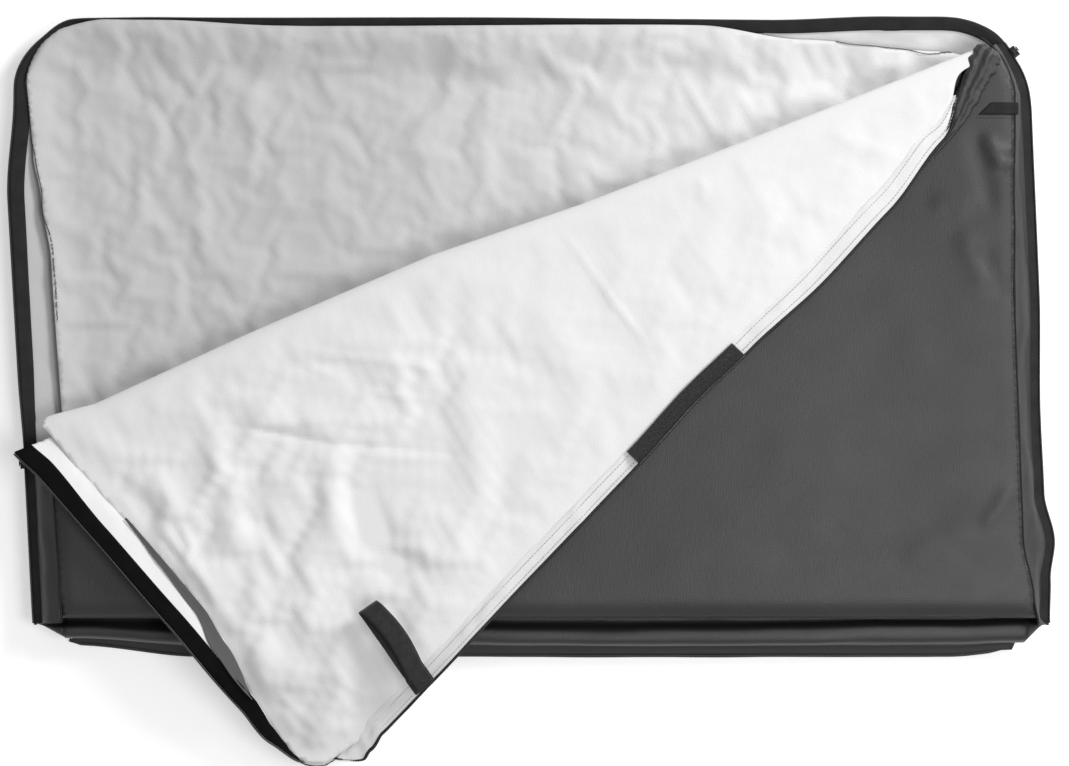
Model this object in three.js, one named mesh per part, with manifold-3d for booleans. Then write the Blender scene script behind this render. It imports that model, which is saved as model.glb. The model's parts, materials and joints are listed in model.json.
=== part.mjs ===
// A flat storage case for large panels: two shallow fabric trays joined along the bottom by a
// full-width gusset and along the other three sides by a zip. The cover's upper-left corner is
// unzipped and folded down over the rest of the cover. Millimetres, +X right, +Y to the top edge,
// +Z up. The case lies on its back, whose underside is at z = 0.

import * as THREE from "three";
import Module from "manifold-3d";
import { mergeVertices } from "three/addons/utils/BufferGeometryUtils.js";

const wasm = await Module();
wasm.setup();

// Driving dimensions
const RIDGE = {
  bottomLeft: new THREE.Vector2(-570, -330),
  topLeft: new THREE.Vector2(-611, 376),
  topRight: new THREE.Vector2(576, 363),
  bottomRight: new THREE.Vector2(602, -330),
};
const CORNER_RADIUS = { left: 90, right: 105 };
const CASE_HEIGHT = 56;
const BOTTOM_Y = -366;
const HEM_Y = -322;
const PANEL_INSET = 37.4;
const BOTTOM_CHAMFER = 32;
const GUSSET_END = 9;
const FABRIC = 1.5;
const LINING = 1.0;
const GAP = 0.3;
const ARC_STEPS = 9;
const HEM_CHAMFER = 4;
const HEM_ENDS = { left: -531, right: 561, drop: 1 };
const FLOOR_ENDS = { left: -500, right: 528, z: 5.2 };
const GUSSET_OUT = { left: -567, right: 597, y: -327, z: 30 };
const BINDING = { length: 1000, middle: 16, width: 2.4, height: 2.8 };

// The fold of the flap
const FOLD = { x: -582.5, y: -132, z: CASE_HEIGHT + 0.5, angle: THREE.MathUtils.degToRad(22.6) };
const FOLD_GAP = 0.8;

// Zip
const SLIDER_LENGTH = 14;
const LEFT_SLIDER_Y = -146;
const RIGHT_SLIDER_ANGLE = THREE.MathUtils.degToRad(40);
const PULL = { length: 12, width: 7, thickness: 1.6, droop: THREE.MathUtils.degToRad(65) };

// Webbing loop and hook strip
const WEBBING = { width: 25, length: 108, height: 13.4, thickness: 1.6 };
const LOOP_BASE = new THREE.Vector3(-137.5, -375.5, 84.6);
const LOOP_HEADING = THREE.MathUtils.degToRad(125);
const LOOP_PITCH = THREE.MathUtils.degToRad(12.6);
const STRIP_HALF_LENGTH = 86;
const STRIP_SHIFT = 13;

// Materials
const cloth = (color) => new THREE.MeshStandardMaterial({ color, roughness: 0.9, metalness: 0 });
const outerFabric = cloth(0x3a3a3c);
const innerFabric = cloth(0xe6e6e6);
const tapeFabric = cloth(0x1c1c1e);
const webbingFabric = cloth(0x232325);
const stripFabric = cloth(0x2a2a2a);
const coil = new THREE.MeshStandardMaterial({ color: 0x151516, roughness: 0.5, metalness: 0 });
const metal = new THREE.MeshStandardMaterial({ color: 0x2b2b2d, roughness: 0.4, metalness: 1 });

const model = new THREE.Group();

function addMesh(parent, name, geometry, material) {
  const mesh = new THREE.Mesh(geometry, material);
  mesh.name = name;
  parent.add(mesh);
  return mesh;
}

// Stations along the ridge: a point and the outward normal at that point
function edgeNormal(from, to) {
  const along = to.clone().sub(from).normalize();
  return new THREE.Vector2(-along.y, along.x);
}

function filletCentre(corner, before, after, radius) {
  const cosine = before.dot(after);
  const reach = radius / (1 + cosine);
  return corner.clone().sub(before.clone().add(after).multiplyScalar(reach));
}

function arcStations(centre, radius, before, after) {
  const start = before.angle();
  let sweep = after.angle() - start;
  if (sweep > 0) sweep -= 2 * Math.PI;
  const stations = [];
  for (let i = 0; i <= ARC_STEPS; i += 1) {
    const angle = start + (sweep * i) / ARC_STEPS;
    const normal = new THREE.Vector2(Math.cos(angle), Math.sin(angle));
    stations.push({ point: centre.clone().addScaledVector(normal, radius), normal });
  }
  return stations;
}

function ridgeSections() {
  const left = edgeNormal(RIDGE.bottomLeft, RIDGE.topLeft);
  const top = edgeNormal(RIDGE.topLeft, RIDGE.topRight);
  const right = edgeNormal(RIDGE.topRight, RIDGE.bottomRight);
  const leftCentre = filletCentre(RIDGE.topLeft, left, top, CORNER_RADIUS.left);
  const rightCentre = filletCentre(RIDGE.topRight, top, right, CORNER_RADIUS.right);
  const leftArc = arcStations(leftCentre, CORNER_RADIUS.left, left, top);
  const rightArc = arcStations(rightCentre, CORNER_RADIUS.right, top, right);
  return {
    left: [{ point: RIDGE.bottomLeft.clone(), normal: left }, leftArc[0]],
    cornerLeft: leftArc,
    top: [leftArc.at(-1), rightArc[0]],
    cornerRight: rightArc,
    right: [rightArc.at(-1), { point: RIDGE.bottomRight.clone(), normal: right }],
    leftNormal: left,
    topNormal: top,
    rightNormal: right,
    rightCentre,
  };
}

const ridge = ridgeSections();
const fullRidge = [
  ridge.left[0],
  ...ridge.cornerLeft,
  ...ridge.cornerRight,
  ridge.right[1],
];
const straightLength = ([start, end]) => start.point.distanceTo(end.point);

// A straight part of a section, between two distances from its start
function stretchOf(section, from, to) {
  const [start, end] = section;
  const along = end.point.clone().sub(start.point).normalize();
  return [from, to].map((distance) => ({
    point: start.point.clone().addScaledVector(along, distance),
    normal: start.normal,
  }));
}

// The cover's sides, which stop short of the bottom gusset
function coverSides() {
  const leftLength = straightLength(ridge.left);
  const rightLength = straightLength(ridge.right);
  return {
    left: stretchOf(ridge.left, GUSSET_END, leftLength),
    right: stretchOf(ridge.right, 0, rightLength - GUSSET_END),
  };
}

function pulledApart(section, gap) {
  const first = section[1].point.clone().sub(section[0].point).normalize();
  const last = section.at(-1).point.clone().sub(section.at(-2).point).normalize();
  return section.map((station, i) => {
    const point = station.point.clone();
    if (i === 0) point.addScaledVector(first, gap);
    if (i === section.length - 1) point.addScaledVector(last, -gap);
    return { point, normal: station.normal };
  });
}

// Sweeps a convex profile of [inset, z] points along stations
function sweepBand(stations, profile) {
  const positions = [];
  const index = [];
  const sides = profile.length;
  for (const { point, normal } of stations) {
    for (const [inset, z] of profile) {
      positions.push(point.x - inset * normal.x, point.y - inset * normal.y, z);
    }
  }
  for (let s = 0; s < stations.length - 1; s += 1) {
    for (let k = 0; k < sides; k += 1) {
      const a = s * sides + k;
      const b = s * sides + ((k + 1) % sides);
      index.push(a, b, a + sides, b, b + sides, a + sides);
    }
  }
  const last = (stations.length - 1) * sides;
  for (let k = 1; k < sides - 1; k += 1) {
    index.push(0, k + 1, k, last, last + k, last + k + 1);
  }
  return facingOut(positions, index);
}

function facingOut(positions, index) {
  const corner = (i) => new THREE.Vector3().fromArray(positions, 3 * i);
  let volume = 0;
  for (let t = 0; t < index.length; t += 3) {
    volume += corner(index[t]).dot(corner(index[t + 1]).cross(corner(index[t + 2])));
  }
  if (volume < 0) index.reverse();
  const geometry = new THREE.BufferGeometry();
  geometry.setAttribute("position", new THREE.Float32BufferAttribute(positions, 3));
  geometry.setIndex(index);
  return geometry;
}

// Profiles of the back tray's wall; the cover's are these turned over
const wallProfile = [[36, 0.3], [12, 22], [13, 23.1], [37, 1.4]];
const tapeProfile = [[11.7, 22.2], [1.3, 25.4], [1.6, 26.7], [12, 23.5]];
const teethProfile = [[-1.5, 25.2], [1, 25.2], [1, 27.2], [-1.5, 27.2]];
const hookProfile = [[12.2, 30.4], [2.6, 27.4], [2.3, 28.8], [11.9, 31.9]];
const loopStripProfile = [[29.7, 5.4], [15.7, 18.1], [14.9, 17.2], [28.9, 4.5]];
const turnedOver = (profile) => profile.map(([inset, z]) => [inset, CASE_HEIGHT - z]);

// A flat panel inside the ridge, from z = low, with a straight bottom edge
function panelGeometry(inset, bottomY, chamfer, low, thickness) {
  const inner = fullRidge.map(({ point, normal }) => point.clone().addScaledVector(normal, -inset));
  const leftSlope = (inner[1].x - inner[0].x) / (inner[1].y - inner[0].y);
  const rightSlope = (inner.at(-1).x - inner.at(-2).x) / (inner.at(-1).y - inner.at(-2).y);
  const endY = bottomY + chamfer;
  const leftX = inner[0].x + leftSlope * (endY - inner[0].y);
  const rightX = inner.at(-1).x + rightSlope * (endY - inner.at(-1).y);
  const outline = [
    new THREE.Vector2(leftX + chamfer, bottomY),
    new THREE.Vector2(leftX, endY),
    ...inner.slice(1, -1),
    new THREE.Vector2(rightX, endY),
    new THREE.Vector2(rightX - chamfer, bottomY),
  ];
  const geometry = new THREE.ExtrudeGeometry(new THREE.Shape(outline), {
    depth: thickness,
    bevelEnabled: false,
  });
  return geometry.translate(0, 0, low);
}

// Booleans
function toSolid(geometry) {
  const bare = geometry.clone();
  bare.deleteAttribute("normal");
  bare.deleteAttribute("uv");
  const merged = mergeVertices(bare, 1e-4);
  return new wasm.Manifold(
    new wasm.Mesh({
      numProp: 3,
      vertProperties: new Float32Array(merged.attributes.position.array),
      triVerts: new Uint32Array(merged.index.array),
    }),
  );
}

function toGeometry(solid) {
  const mesh = solid.getMesh();
  const geometry = new THREE.BufferGeometry();
  geometry.setAttribute("position", new THREE.Float32BufferAttribute(mesh.vertProperties, 3));
  geometry.setIndex(Array.from(mesh.triVerts));
  return geometry;
}

// The half space on the flap's side of the fold, or on the cover's side, less a small gap
function foldSide(sign) {
  const size = 3000;
  const block = new THREE.BoxGeometry(size, size, 400);
  block.translate(0, sign * (size / 2 + FOLD_GAP), 0);
  block.rotateZ(FOLD.angle);
  block.translate(FOLD.x, FOLD.y, 0);
  return toSolid(block);
}

const flapSide = foldSide(1);
const coverSide = foldSide(-1);
const cutFor = (geometry, side) => toGeometry(toSolid(geometry).intersect(side));

// Back tray
function buildBack() {
  const back = new THREE.Group();
  const shell = panelGeometry(PANEL_INSET, BOTTOM_Y, BOTTOM_CHAMFER, 0, FABRIC);
  const lining = panelGeometry(PANEL_INSET + 1, BOTTOM_Y + 4, BOTTOM_CHAMFER, FABRIC + GAP, LINING);
  addMesh(back, "back_shell", shell, outerFabric);
  addMesh(back, "back_lining", lining, innerFabric);
  const walls = {
    back_boxing_left: ridge.left,
    back_boxing_corner_left: ridge.cornerLeft,
    back_boxing_top: ridge.top,
    back_boxing_corner_right: ridge.cornerRight,
    back_boxing_right: ridge.right,
  };
  for (const [name, section] of Object.entries(walls)) {
    addMesh(back, name, sweepBand(pulledApart(section, GAP / 2), wallProfile), outerFabric);
  }
  addMesh(back, "back_zip_tape", sweepBand(fullRidge, tapeProfile), tapeFabric);
  addMesh(back, "back_zip_teeth", sweepBand(fullRidge, teethProfile), coil);
  const middle = straightLength(ridge.top) / 2 + STRIP_SHIFT;
  const strip = stretchOf(ridge.top, middle - STRIP_HALF_LENGTH, middle + STRIP_HALF_LENGTH);
  addMesh(back, "back_loop_strip", sweepBand(strip, loopStripProfile), stripFabric);
  addMesh(back, "bottom_binding", bindingGeometry(), tapeFabric);
  return back;
}

// The binding over the floor seam of the gusset
function bindingGeometry() {
  const binding = new THREE.BoxGeometry(BINDING.length, BINDING.width, BINDING.height);
  const outside = BOTTOM_Y - 0.4 - BINDING.width / 2;
  return binding.translate(BINDING.middle, outside, 0.2 + BINDING.height / 2);
}

// Cover, below the fold
function buildCover() {
  const cover = new THREE.Group();
  const top = CASE_HEIGHT - FABRIC;
  const shell = panelGeometry(PANEL_INSET, HEM_Y, HEM_CHAMFER, top, FABRIC);
  const below = top - GAP - LINING;
  const lining = panelGeometry(PANEL_INSET + 1, HEM_Y + 2, HEM_CHAMFER, below, LINING);
  addMesh(cover, "cover_shell", cutFor(shell, coverSide), outerFabric);
  addMesh(cover, "cover_lining", cutFor(lining, coverSide), innerFabric);
  const wall = turnedOver(wallProfile);
  const corner = sweepBand(pulledApart(ridge.cornerRight, GAP / 2), wall);
  const sides = coverSides();
  const left = sweepBand(sides.left, wall);
  addMesh(cover, "cover_boxing_left", cutFor(left, coverSide), outerFabric);
  addMesh(cover, "cover_boxing_corner_right", cutFor(corner, coverSide), outerFabric);
  addMesh(cover, "cover_boxing_right", sweepBand(sides.right, wall), outerFabric);
  addZipHalves(cover, sides);
  addGusset(cover);
  return cover;
}

function addZipHalves(cover, sides) {
  const runs = { left: sides.left, right: [...ridge.cornerRight, sides.right[1]] };
  for (const [side, run] of Object.entries(runs)) {
    const tape = sweepBand(run, turnedOver(tapeProfile));
    const teeth = sweepBand(run, turnedOver(teethProfile));
    addMesh(cover, `cover_zip_tape_${side}`, cutFor(tape, coverSide), tapeFabric);
    addMesh(cover, `cover_zip_teeth_${side}`, cutFor(teeth, coverSide), coil);
  }
}

// A flat plate over a convex outline of 3-D points, thickened against its normal
function plateGeometry(points, thickness) {
  const across = points[1].clone().sub(points[0]);
  const normal = across.cross(points[2].clone().sub(points[0])).normalize();
  const count = points.length;
  const layers = [points, points.map((p) => p.clone().addScaledVector(normal, -thickness))];
  const positions = layers.flat().flatMap((p) => p.toArray());
  const index = [];
  for (let k = 1; k < count - 1; k += 1) {
    index.push(0, k, k + 1, count, count + k + 1, count + k);
  }
  for (let k = 0; k < count; k += 1) {
    const next = (k + 1) % count;
    index.push(k, count + k, next, next, count + k, count + next);
  }
  return facingOut(positions, index);
}

function addGusset(cover) {
  const hemZ = CASE_HEIGHT - HEM_ENDS.drop;
  const hemLeft = new THREE.Vector3(HEM_ENDS.left, HEM_Y - 2 * GAP, hemZ);
  const hemRight = new THREE.Vector3(HEM_ENDS.right, HEM_Y - 2 * GAP, hemZ);
  const floorLeft = new THREE.Vector3(FLOOR_ENDS.left, BOTTOM_Y + 1, FLOOR_ENDS.z);
  const floorRight = new THREE.Vector3(FLOOR_ENDS.right, BOTTOM_Y + 1, FLOOR_ENDS.z);
  const main = plateGeometry([floorLeft, floorRight, hemRight, hemLeft], FABRIC);
  addMesh(cover, "bottom_gusset", main, outerFabric);
  const outLeft = new THREE.Vector3(GUSSET_OUT.left, GUSSET_OUT.y, GUSSET_OUT.z);
  const outRight = new THREE.Vector3(GUSSET_OUT.right, GUSSET_OUT.y, GUSSET_OUT.z);
  const shift = new THREE.Vector3(2 * GAP, 0, 0);
  const left = [hemLeft, outLeft, floorLeft].map((p) => p.clone().sub(shift));
  const right = [hemRight, floorRight, outRight].map((p) => p.clone().add(shift));
  addMesh(cover, "gusset_end_left", plateGeometry(left, FABRIC), outerFabric);
  addMesh(cover, "gusset_end_right", plateGeometry(right, FABRIC), outerFabric);
}

// Flap: the cover's upper-left corner, built shut and then turned over about the fold
function buildFlap() {
  const flap = new THREE.Group();
  const top = CASE_HEIGHT - FABRIC;
  const shell = panelGeometry(PANEL_INSET, HEM_Y, HEM_CHAMFER, top, FABRIC);
  const below = top - GAP - LINING;
  const lining = panelGeometry(PANEL_INSET + 1, HEM_Y + 2, HEM_CHAMFER, below, LINING);
  const wall = turnedOver(wallProfile);
  const left = sweepBand(pulledApart(ridge.left, GAP / 2), wall);
  const corner = sweepBand(pulledApart(ridge.cornerRight, GAP / 2), wall);
  addMesh(flap, "flap_shell", cutFor(shell, flapSide), outerFabric);
  addMesh(flap, "flap_lining", cutFor(lining, flapSide), innerFabric);
  addMesh(flap, "flap_boxing_left", cutFor(left, flapSide), outerFabric);
  addMesh(flap, "flap_boxing_corner_left",
    sweepBand(pulledApart(ridge.cornerLeft, GAP / 2), wall), outerFabric);
  addMesh(flap, "flap_boxing_top", sweepBand(pulledApart(ridge.top, GAP / 2), wall), outerFabric);
  addMesh(flap, "flap_boxing_corner_right", cutFor(corner, flapSide), outerFabric);
  addMesh(flap, "flap_zip_tape",
    cutFor(sweepBand(fullRidge, turnedOver(tapeProfile)), flapSide), tapeFabric);
  addMesh(flap, "flap_zip_teeth",
    cutFor(sweepBand(fullRidge, turnedOver(teethProfile)), flapSide), coil);
  const middle = straightLength(ridge.top) / 2 + STRIP_SHIFT;
  const strip = stretchOf(ridge.top, middle - STRIP_HALF_LENGTH, middle + STRIP_HALF_LENGTH);
  addMesh(flap, "hook_strip", sweepBand(strip, hookProfile), stripFabric);
  return turnedAboutFold(flap, Math.PI);
}

function turnedAboutFold(group, angle) {
  const axis = new THREE.Vector3(Math.cos(FOLD.angle), Math.sin(FOLD.angle), 0);
  const place = new THREE.Vector3(FOLD.x, FOLD.y, FOLD.z);
  group.quaternion.setFromAxisAngle(axis, angle);
  group.position.copy(place).sub(place.clone().applyQuaternion(group.quaternion));
  return group;
}

// A shape in the x-z plane, drawn out to a width along y about its middle
function drawnOut(shape, width) {
  const geometry = new THREE.ExtrudeGeometry(shape, {
    depth: width,
    bevelEnabled: false,
    curveSegments: 6,
  });
  geometry.rotateX(Math.PI / 2);
  return geometry.translate(0, width / 2, 0);
}

// Webbing loop
function loopShape() {
  const { length, height, thickness } = WEBBING;
  const radius = height / 2;
  const bend = length - radius;
  const shape = new THREE.Shape();
  shape.moveTo(0, 0);
  shape.lineTo(bend, 0);
  shape.absarc(bend, radius, radius, -Math.PI / 2, Math.PI / 2, false);
  shape.lineTo(0.35 * length, height);
  shape.lineTo(0, 2 * thickness + 0.2);
  const hole = new THREE.Path();
  hole.moveTo(10, thickness);
  hole.lineTo(0.36 * length, height - thickness);
  hole.lineTo(bend, height - thickness);
  hole.absarc(bend, radius, radius - thickness, Math.PI / 2, -Math.PI / 2, true);
  shape.holes.push(hole);
  return shape;
}

function buildLoop() {
  const place = new THREE.Group();
  place.position.copy(LOOP_BASE);
  place.rotation.z = LOOP_HEADING;
  const anchor = new THREE.BoxGeometry(13, WEBBING.width, WEBBING.thickness);
  anchor.translate(-7.5, 0, WEBBING.thickness / 2);
  addMesh(place, "loop_anchor", anchor, webbingFabric);
  const tilt = new THREE.Group();
  tilt.rotation.y = LOOP_PITCH;
  place.add(tilt);
  addMesh(tilt, "webbing_loop", drawnOut(loopShape(), WEBBING.width), webbingFabric);
  return place;
}

// Zip sliders: local x points out of the case, local y runs along the zip
function sliderShape() {
  const points = [
    [-1, 23.2], [5, 23.2], [5, 32.8], [-1, 32.8], [-1, 31.3], [2.2, 31.3],
    [2.2, 28.5], [-0.5, 28.5], [-0.5, 27.5], [2.2, 27.5], [2.2, 24.7], [-1, 24.7],
  ];
  return new THREE.Shape(points.map(([x, z]) => new THREE.Vector2(x, z)));
}

function pullShape() {
  const half = PULL.thickness / 2;
  const shape = new THREE.Shape();
  shape.moveTo(-half, -half);
  shape.lineTo(PULL.length, -half);
  shape.lineTo(PULL.length, half);
  shape.lineTo(-half, half);
  return shape;
}

function buildSlider(side, point, normal) {
  const place = new THREE.Group();
  place.position.set(point.x, point.y, 0);
  place.rotation.z = Math.atan2(normal.y, normal.x);
  addMesh(place, `zip_slider_${side}`, drawnOut(sliderShape(), SLIDER_LENGTH), metal);
  const hang = new THREE.Group();
  hang.position.set(6.5, 0, CASE_HEIGHT / 2);
  hang.rotation.y = PULL.droop;
  place.add(hang);
  addMesh(hang, `zip_pull_${side}`, drawnOut(pullShape(), PULL.width), metal);
  return place;
}

function leftSlider() {
  const [start, end] = ridge.left;
  const share = (LEFT_SLIDER_Y - start.point.y) / (end.point.y - start.point.y);
  return buildSlider("left", start.point.clone().lerp(end.point, share), ridge.leftNormal);
}

function rightSlider() {
  const normal = new THREE.Vector2(Math.cos(RIGHT_SLIDER_ANGLE), Math.sin(RIGHT_SLIDER_ANGLE));
  const point = ridge.rightCentre.clone().addScaledVector(normal, CORNER_RADIUS.right);
  return buildSlider("right", point, normal);
}

// End stops of the zip, beyond the last teeth
function addStops(parent) {
  const ends = { left: [ridge.left[0], -1], right: [ridge.right[1], 1] };
  for (const [side, [station, sign]] of Object.entries(ends)) {
    const stop = new THREE.BoxGeometry(3, 4, 3.4);
    const along = new THREE.Vector2(station.normal.y, -station.normal.x);
    const at = station.point.clone().addScaledVector(along, sign * 2.6);
    stop.rotateZ(Math.atan2(station.normal.y, station.normal.x));
    stop.translate(at.x, at.y, 26.2);
    addMesh(parent, `zip_stop_${side}`, stop, metal);
  }
}

const back = buildBack();
addStops(back);
model.add(back, buildCover(), buildFlap(), buildLoop(), leftSlider(), rightSlider());

export default model;
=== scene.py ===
"""A flat fabric storage case that lies on its back, with one corner of its cover folded down.

Metres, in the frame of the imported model: +X right, +Y to the zipped top edge, +Z up. The tables of
folds and the pairs that over_mm takes are in millimetres.
"""
import json
import math

import bpy
import numpy as np
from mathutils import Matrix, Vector, geometry
from mathutils.kdtree import KDTree


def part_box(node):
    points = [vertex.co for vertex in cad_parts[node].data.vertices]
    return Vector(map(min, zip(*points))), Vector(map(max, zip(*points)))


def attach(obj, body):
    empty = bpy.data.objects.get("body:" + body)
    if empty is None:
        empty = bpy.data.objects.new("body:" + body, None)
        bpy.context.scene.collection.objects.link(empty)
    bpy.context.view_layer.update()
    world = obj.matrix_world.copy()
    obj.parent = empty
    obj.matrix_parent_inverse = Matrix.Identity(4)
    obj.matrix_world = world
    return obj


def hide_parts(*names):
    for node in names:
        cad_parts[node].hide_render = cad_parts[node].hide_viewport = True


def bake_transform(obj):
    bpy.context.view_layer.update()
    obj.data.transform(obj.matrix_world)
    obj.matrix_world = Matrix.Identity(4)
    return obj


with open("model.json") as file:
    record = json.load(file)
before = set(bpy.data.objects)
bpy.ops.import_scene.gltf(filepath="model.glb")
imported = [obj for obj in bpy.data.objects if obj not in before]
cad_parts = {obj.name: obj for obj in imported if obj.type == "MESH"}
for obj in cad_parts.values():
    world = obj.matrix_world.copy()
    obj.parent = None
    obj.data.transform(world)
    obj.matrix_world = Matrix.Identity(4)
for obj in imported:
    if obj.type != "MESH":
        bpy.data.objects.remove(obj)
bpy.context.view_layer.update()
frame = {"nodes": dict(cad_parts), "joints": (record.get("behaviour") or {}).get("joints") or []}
MM = 0.001
UP = np.array([0, 0, 1.0])


# ---------------------------------------------------------------- places from the frame

def joint(name):
    return next(j for j in frame["joints"] if j["name"] == name)


def low(node):
    return np.array(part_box(node)[0])


def high(node):
    return np.array(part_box(node)[1])


FOLD_POINT = np.array(joint("flap_fold")["pos_m"])
FOLD_ALONG = -np.array(joint("flap_fold")["axis"])[:2]
FOLD_ACROSS = np.array([-FOLD_ALONG[1], FOLD_ALONG[0]])
FOLD_Z = FOLD_POINT[2]
COVER_TOP = high("cover_shell")[2]
LINING_ON_BACK = high("back_lining")[2]
HEM_Y = low("cover_shell")[1]
FLOOR_SEAM_Y = low("back_shell")[1]
RIDGE_Z = (high("back_zip_teeth")[2] + low("cover_zip_teeth_right")[2]) / 2
SEAM_INSET = 36 * MM
FLOOR_WELT_INSET = 37.5 * MM
BACK_COIL_Z = 26.2 * MM
COVER_COIL_Z = 29.7 * MM
COIL_INSET = -0.4 * MM
COIL_RADIUS = 1.25 * MM
COIL_STEP = 1.0 * MM
PANEL = 0.9 * MM
FABRIC = 0.8 * MM
TAPING = 0.9 * MM
LINING = 0.5 * MM
LOOSE_LINING = 0.6 * MM


def across_fold(xy):
    return (xy - FOLD_POINT[:2]) @ FOLD_ACROSS


def along_fold(xy):
    return (xy - FOLD_POINT[:2]) @ FOLD_ALONG


def folded(points):
    """Points of the shut cover, turned over about the fold."""
    turned = np.array(points, float)
    turned[:, :2] -= 2 * across_fold(turned[:, :2])[:, None] * FOLD_ACROSS
    turned[:, 2] = 2 * FOLD_Z - turned[:, 2]
    return turned


# ---------------------------------------------------------------- smooth noise, in numpy

def lattice(ix, iy, seed):
    """A fixed random number from -1 to 1 for each whole (ix, iy)."""
    h = (ix * 374761393 + iy * 668265263 + seed * 974634777) & 0x7FFFFFFF
    h = (h ^ (h >> 13)) * 1274126177 & 0x7FFFFFFF
    return ((h ^ (h >> 16)) & 0xFFFF) / 32767.5 - 1.0


def noise(x, y, seed):
    """Value noise from -1 to 1."""
    x = np.asarray(x, float)
    y = np.asarray(y, float)
    ix = np.floor(x).astype(np.int64)
    iy = np.floor(y).astype(np.int64)
    fx = x - ix
    fy = y - iy
    u = fx * fx * fx * (fx * (fx * 6 - 15) + 10)
    v = fy * fy * fy * (fy * (fy * 6 - 15) + 10)
    a = lattice(ix, iy, seed)
    b = lattice(ix + 1, iy, seed)
    c = lattice(ix, iy + 1, seed)
    d = lattice(ix + 1, iy + 1, seed)
    return (a * (1 - u) + b * u) * (1 - v) + (c * (1 - u) + d * u) * v


def layered(x, y, seed, layers=3):
    """Noise with finer noise on top, each layer twice as fine and half as high."""
    total = 0
    for i in range(layers):
        total = total + noise(x * 2**i, y * 2**i, seed + 17 * i) / 2**i
    return total


def ridged(x, y, seed):
    """Narrow crests where the noise crosses zero."""
    return 1 - np.minimum(1, np.abs(layered(x, y, seed, 2)) * 3)


def ease(x):
    """0 below 0, 1 above 1, and a smooth step between."""
    x = np.clip(x, 0, 1)
    return x * x * (3 - 2 * x)


def fold_line(xy, path, width, height):
    """A soft crest along a path of (x, y) in millimetres, fading at its ends."""
    path = np.array(path, float) * MM
    reach = np.hypot(*np.diff(path, axis=0).T)
    run = np.r_[0, np.cumsum(reach)]
    least = np.full(len(xy), np.inf)
    at = np.zeros(len(xy))
    for i, start in enumerate(path[:-1]):
        along = (path[i + 1] - start) / reach[i]
        t = np.clip((xy - start) @ along, 0, reach[i])
        away = np.hypot(*(xy - start - t[:, None] * along).T)
        closer = away < least
        least = np.minimum(away, least)
        at = np.where(closer, run[i] + t, at)
    fade = ease(at / (0.3 * run[-1])) * ease((run[-1] - at) / (0.3 * run[-1]))
    return height * MM * fade * np.exp(-((least / (width * MM)) ** 2))


def fold_lines(points, folds):
    """The sum of the soft crests of a table of folds."""
    return sum(fold_line(points, *fold) for fold in folds)


# ---------------------------------------------------------------- the ridge where the zip runs

def hull_of(points):
    """The convex outline round plan points, anticlockwise."""
    points = sorted(map(tuple, np.round(points, 6)))

    def half(sequence):
        chain = []
        for p in sequence:
            while len(chain) > 1:
                (ax, ay), (bx, by) = chain[-2:]
                if (bx - ax) * (p[1] - ay) - (by - ay) * (p[0] - ax) > 0:
                    break
                chain.pop()
            chain.append(p)
        return chain[:-1]

    return np.array(half(points) + half(points[::-1]))


def node_centre(node):
    return (low(node) + high(node)) / 2


def unit(vectors):
    return vectors / np.maximum(np.linalg.norm(vectors, axis=-1, keepdims=True), 1e-9)


def run_along(line):
    """The distance of each point of a line from its start."""
    return np.r_[0, np.cumsum(np.linalg.norm(np.diff(line, axis=0), axis=1))]


def interpolated(at, run, line):
    """The points of a line at given distances from its start."""
    return np.stack([np.interp(at, run, column) for column in line.T], axis=-1)


def ridge_line():
    """Evenly spaced points and outward normals, clockwise from bottom left to bottom right."""
    mesh = frame["nodes"]["back_zip_teeth"].data
    ring = hull_of(np.array([v.co[:2] for v in mesh.vertices]))[::-1]
    bottom = ring[:, 1] < ring[:, 1].min() + 5 * MM
    start = np.flatnonzero(bottom)[np.argmin(ring[bottom, 0])]
    ring = np.roll(ring, -start, axis=0)
    bottom = np.roll(bottom, -start)
    ring = ring[: np.argmax(np.where(bottom, ring[:, 0], -9)) + 1]
    run = run_along(ring)
    even = np.linspace(0, run[-1], 640)
    line = interpolated(even, run, ring)
    for _ in range(3):
        line[1:-1] = (line[:-2] + 2 * line[1:-1] + line[2:]) / 4
    slope = unit(np.gradient(line, even, axis=0))
    return even, line, np.stack([-slope[:, 1], slope[:, 0]], axis=1)


RIDGE_S, RIDGE_P, RIDGE_N = ridge_line()
RIDGE_LENGTH = RIDGE_S[-1]


def on_ridge(s, inset):
    """Plan points at distances s along the ridge, moved in by inset."""
    place = interpolated(s, RIDGE_S, RIDGE_P)
    return place - np.asarray(inset)[..., None] * interpolated(s, RIDGE_S, RIDGE_N)


def crossing(inset, side):
    """The ridge distance where the fold crosses, on the left or the right."""
    s = np.linspace(0, RIDGE_LENGTH, 2000)
    above = across_fold(on_ridge(s, inset)) > 0
    change = np.flatnonzero(above[1:] != above[:-1])
    return s[change[0 if side == "left" else -1]]


def ridge_s_near(x, y):
    return RIDGE_S[np.argmin(np.hypot(RIDGE_P[:, 0] - x, RIDGE_P[:, 1] - y))]


S_FOLD_LEFT = crossing(0, "left")
S_FOLD_RIGHT = crossing(0, "right")
S_CORNER_LEFT = ridge_s_near(low("back_zip_teeth")[0], high("back_zip_teeth")[1])
S_CORNER_RIGHT = ridge_s_near(high("back_zip_teeth")[0] - 20 * MM, high("back_zip_teeth")[1])


# ---------------------------------------------------------------- making meshes

def new_object(name, verts, faces, material):
    mesh = bpy.data.meshes.new(name)
    mesh.from_pydata([tuple(v) for v in verts], [], [tuple(f) for f in faces])
    mesh.validate()
    mesh.update()
    mesh.polygons.foreach_set("use_smooth", [True] * len(mesh.polygons))
    obj = bpy.data.objects.new(name, mesh)
    bpy.context.scene.collection.objects.link(obj)
    mesh.materials.append(material)
    return obj


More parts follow.
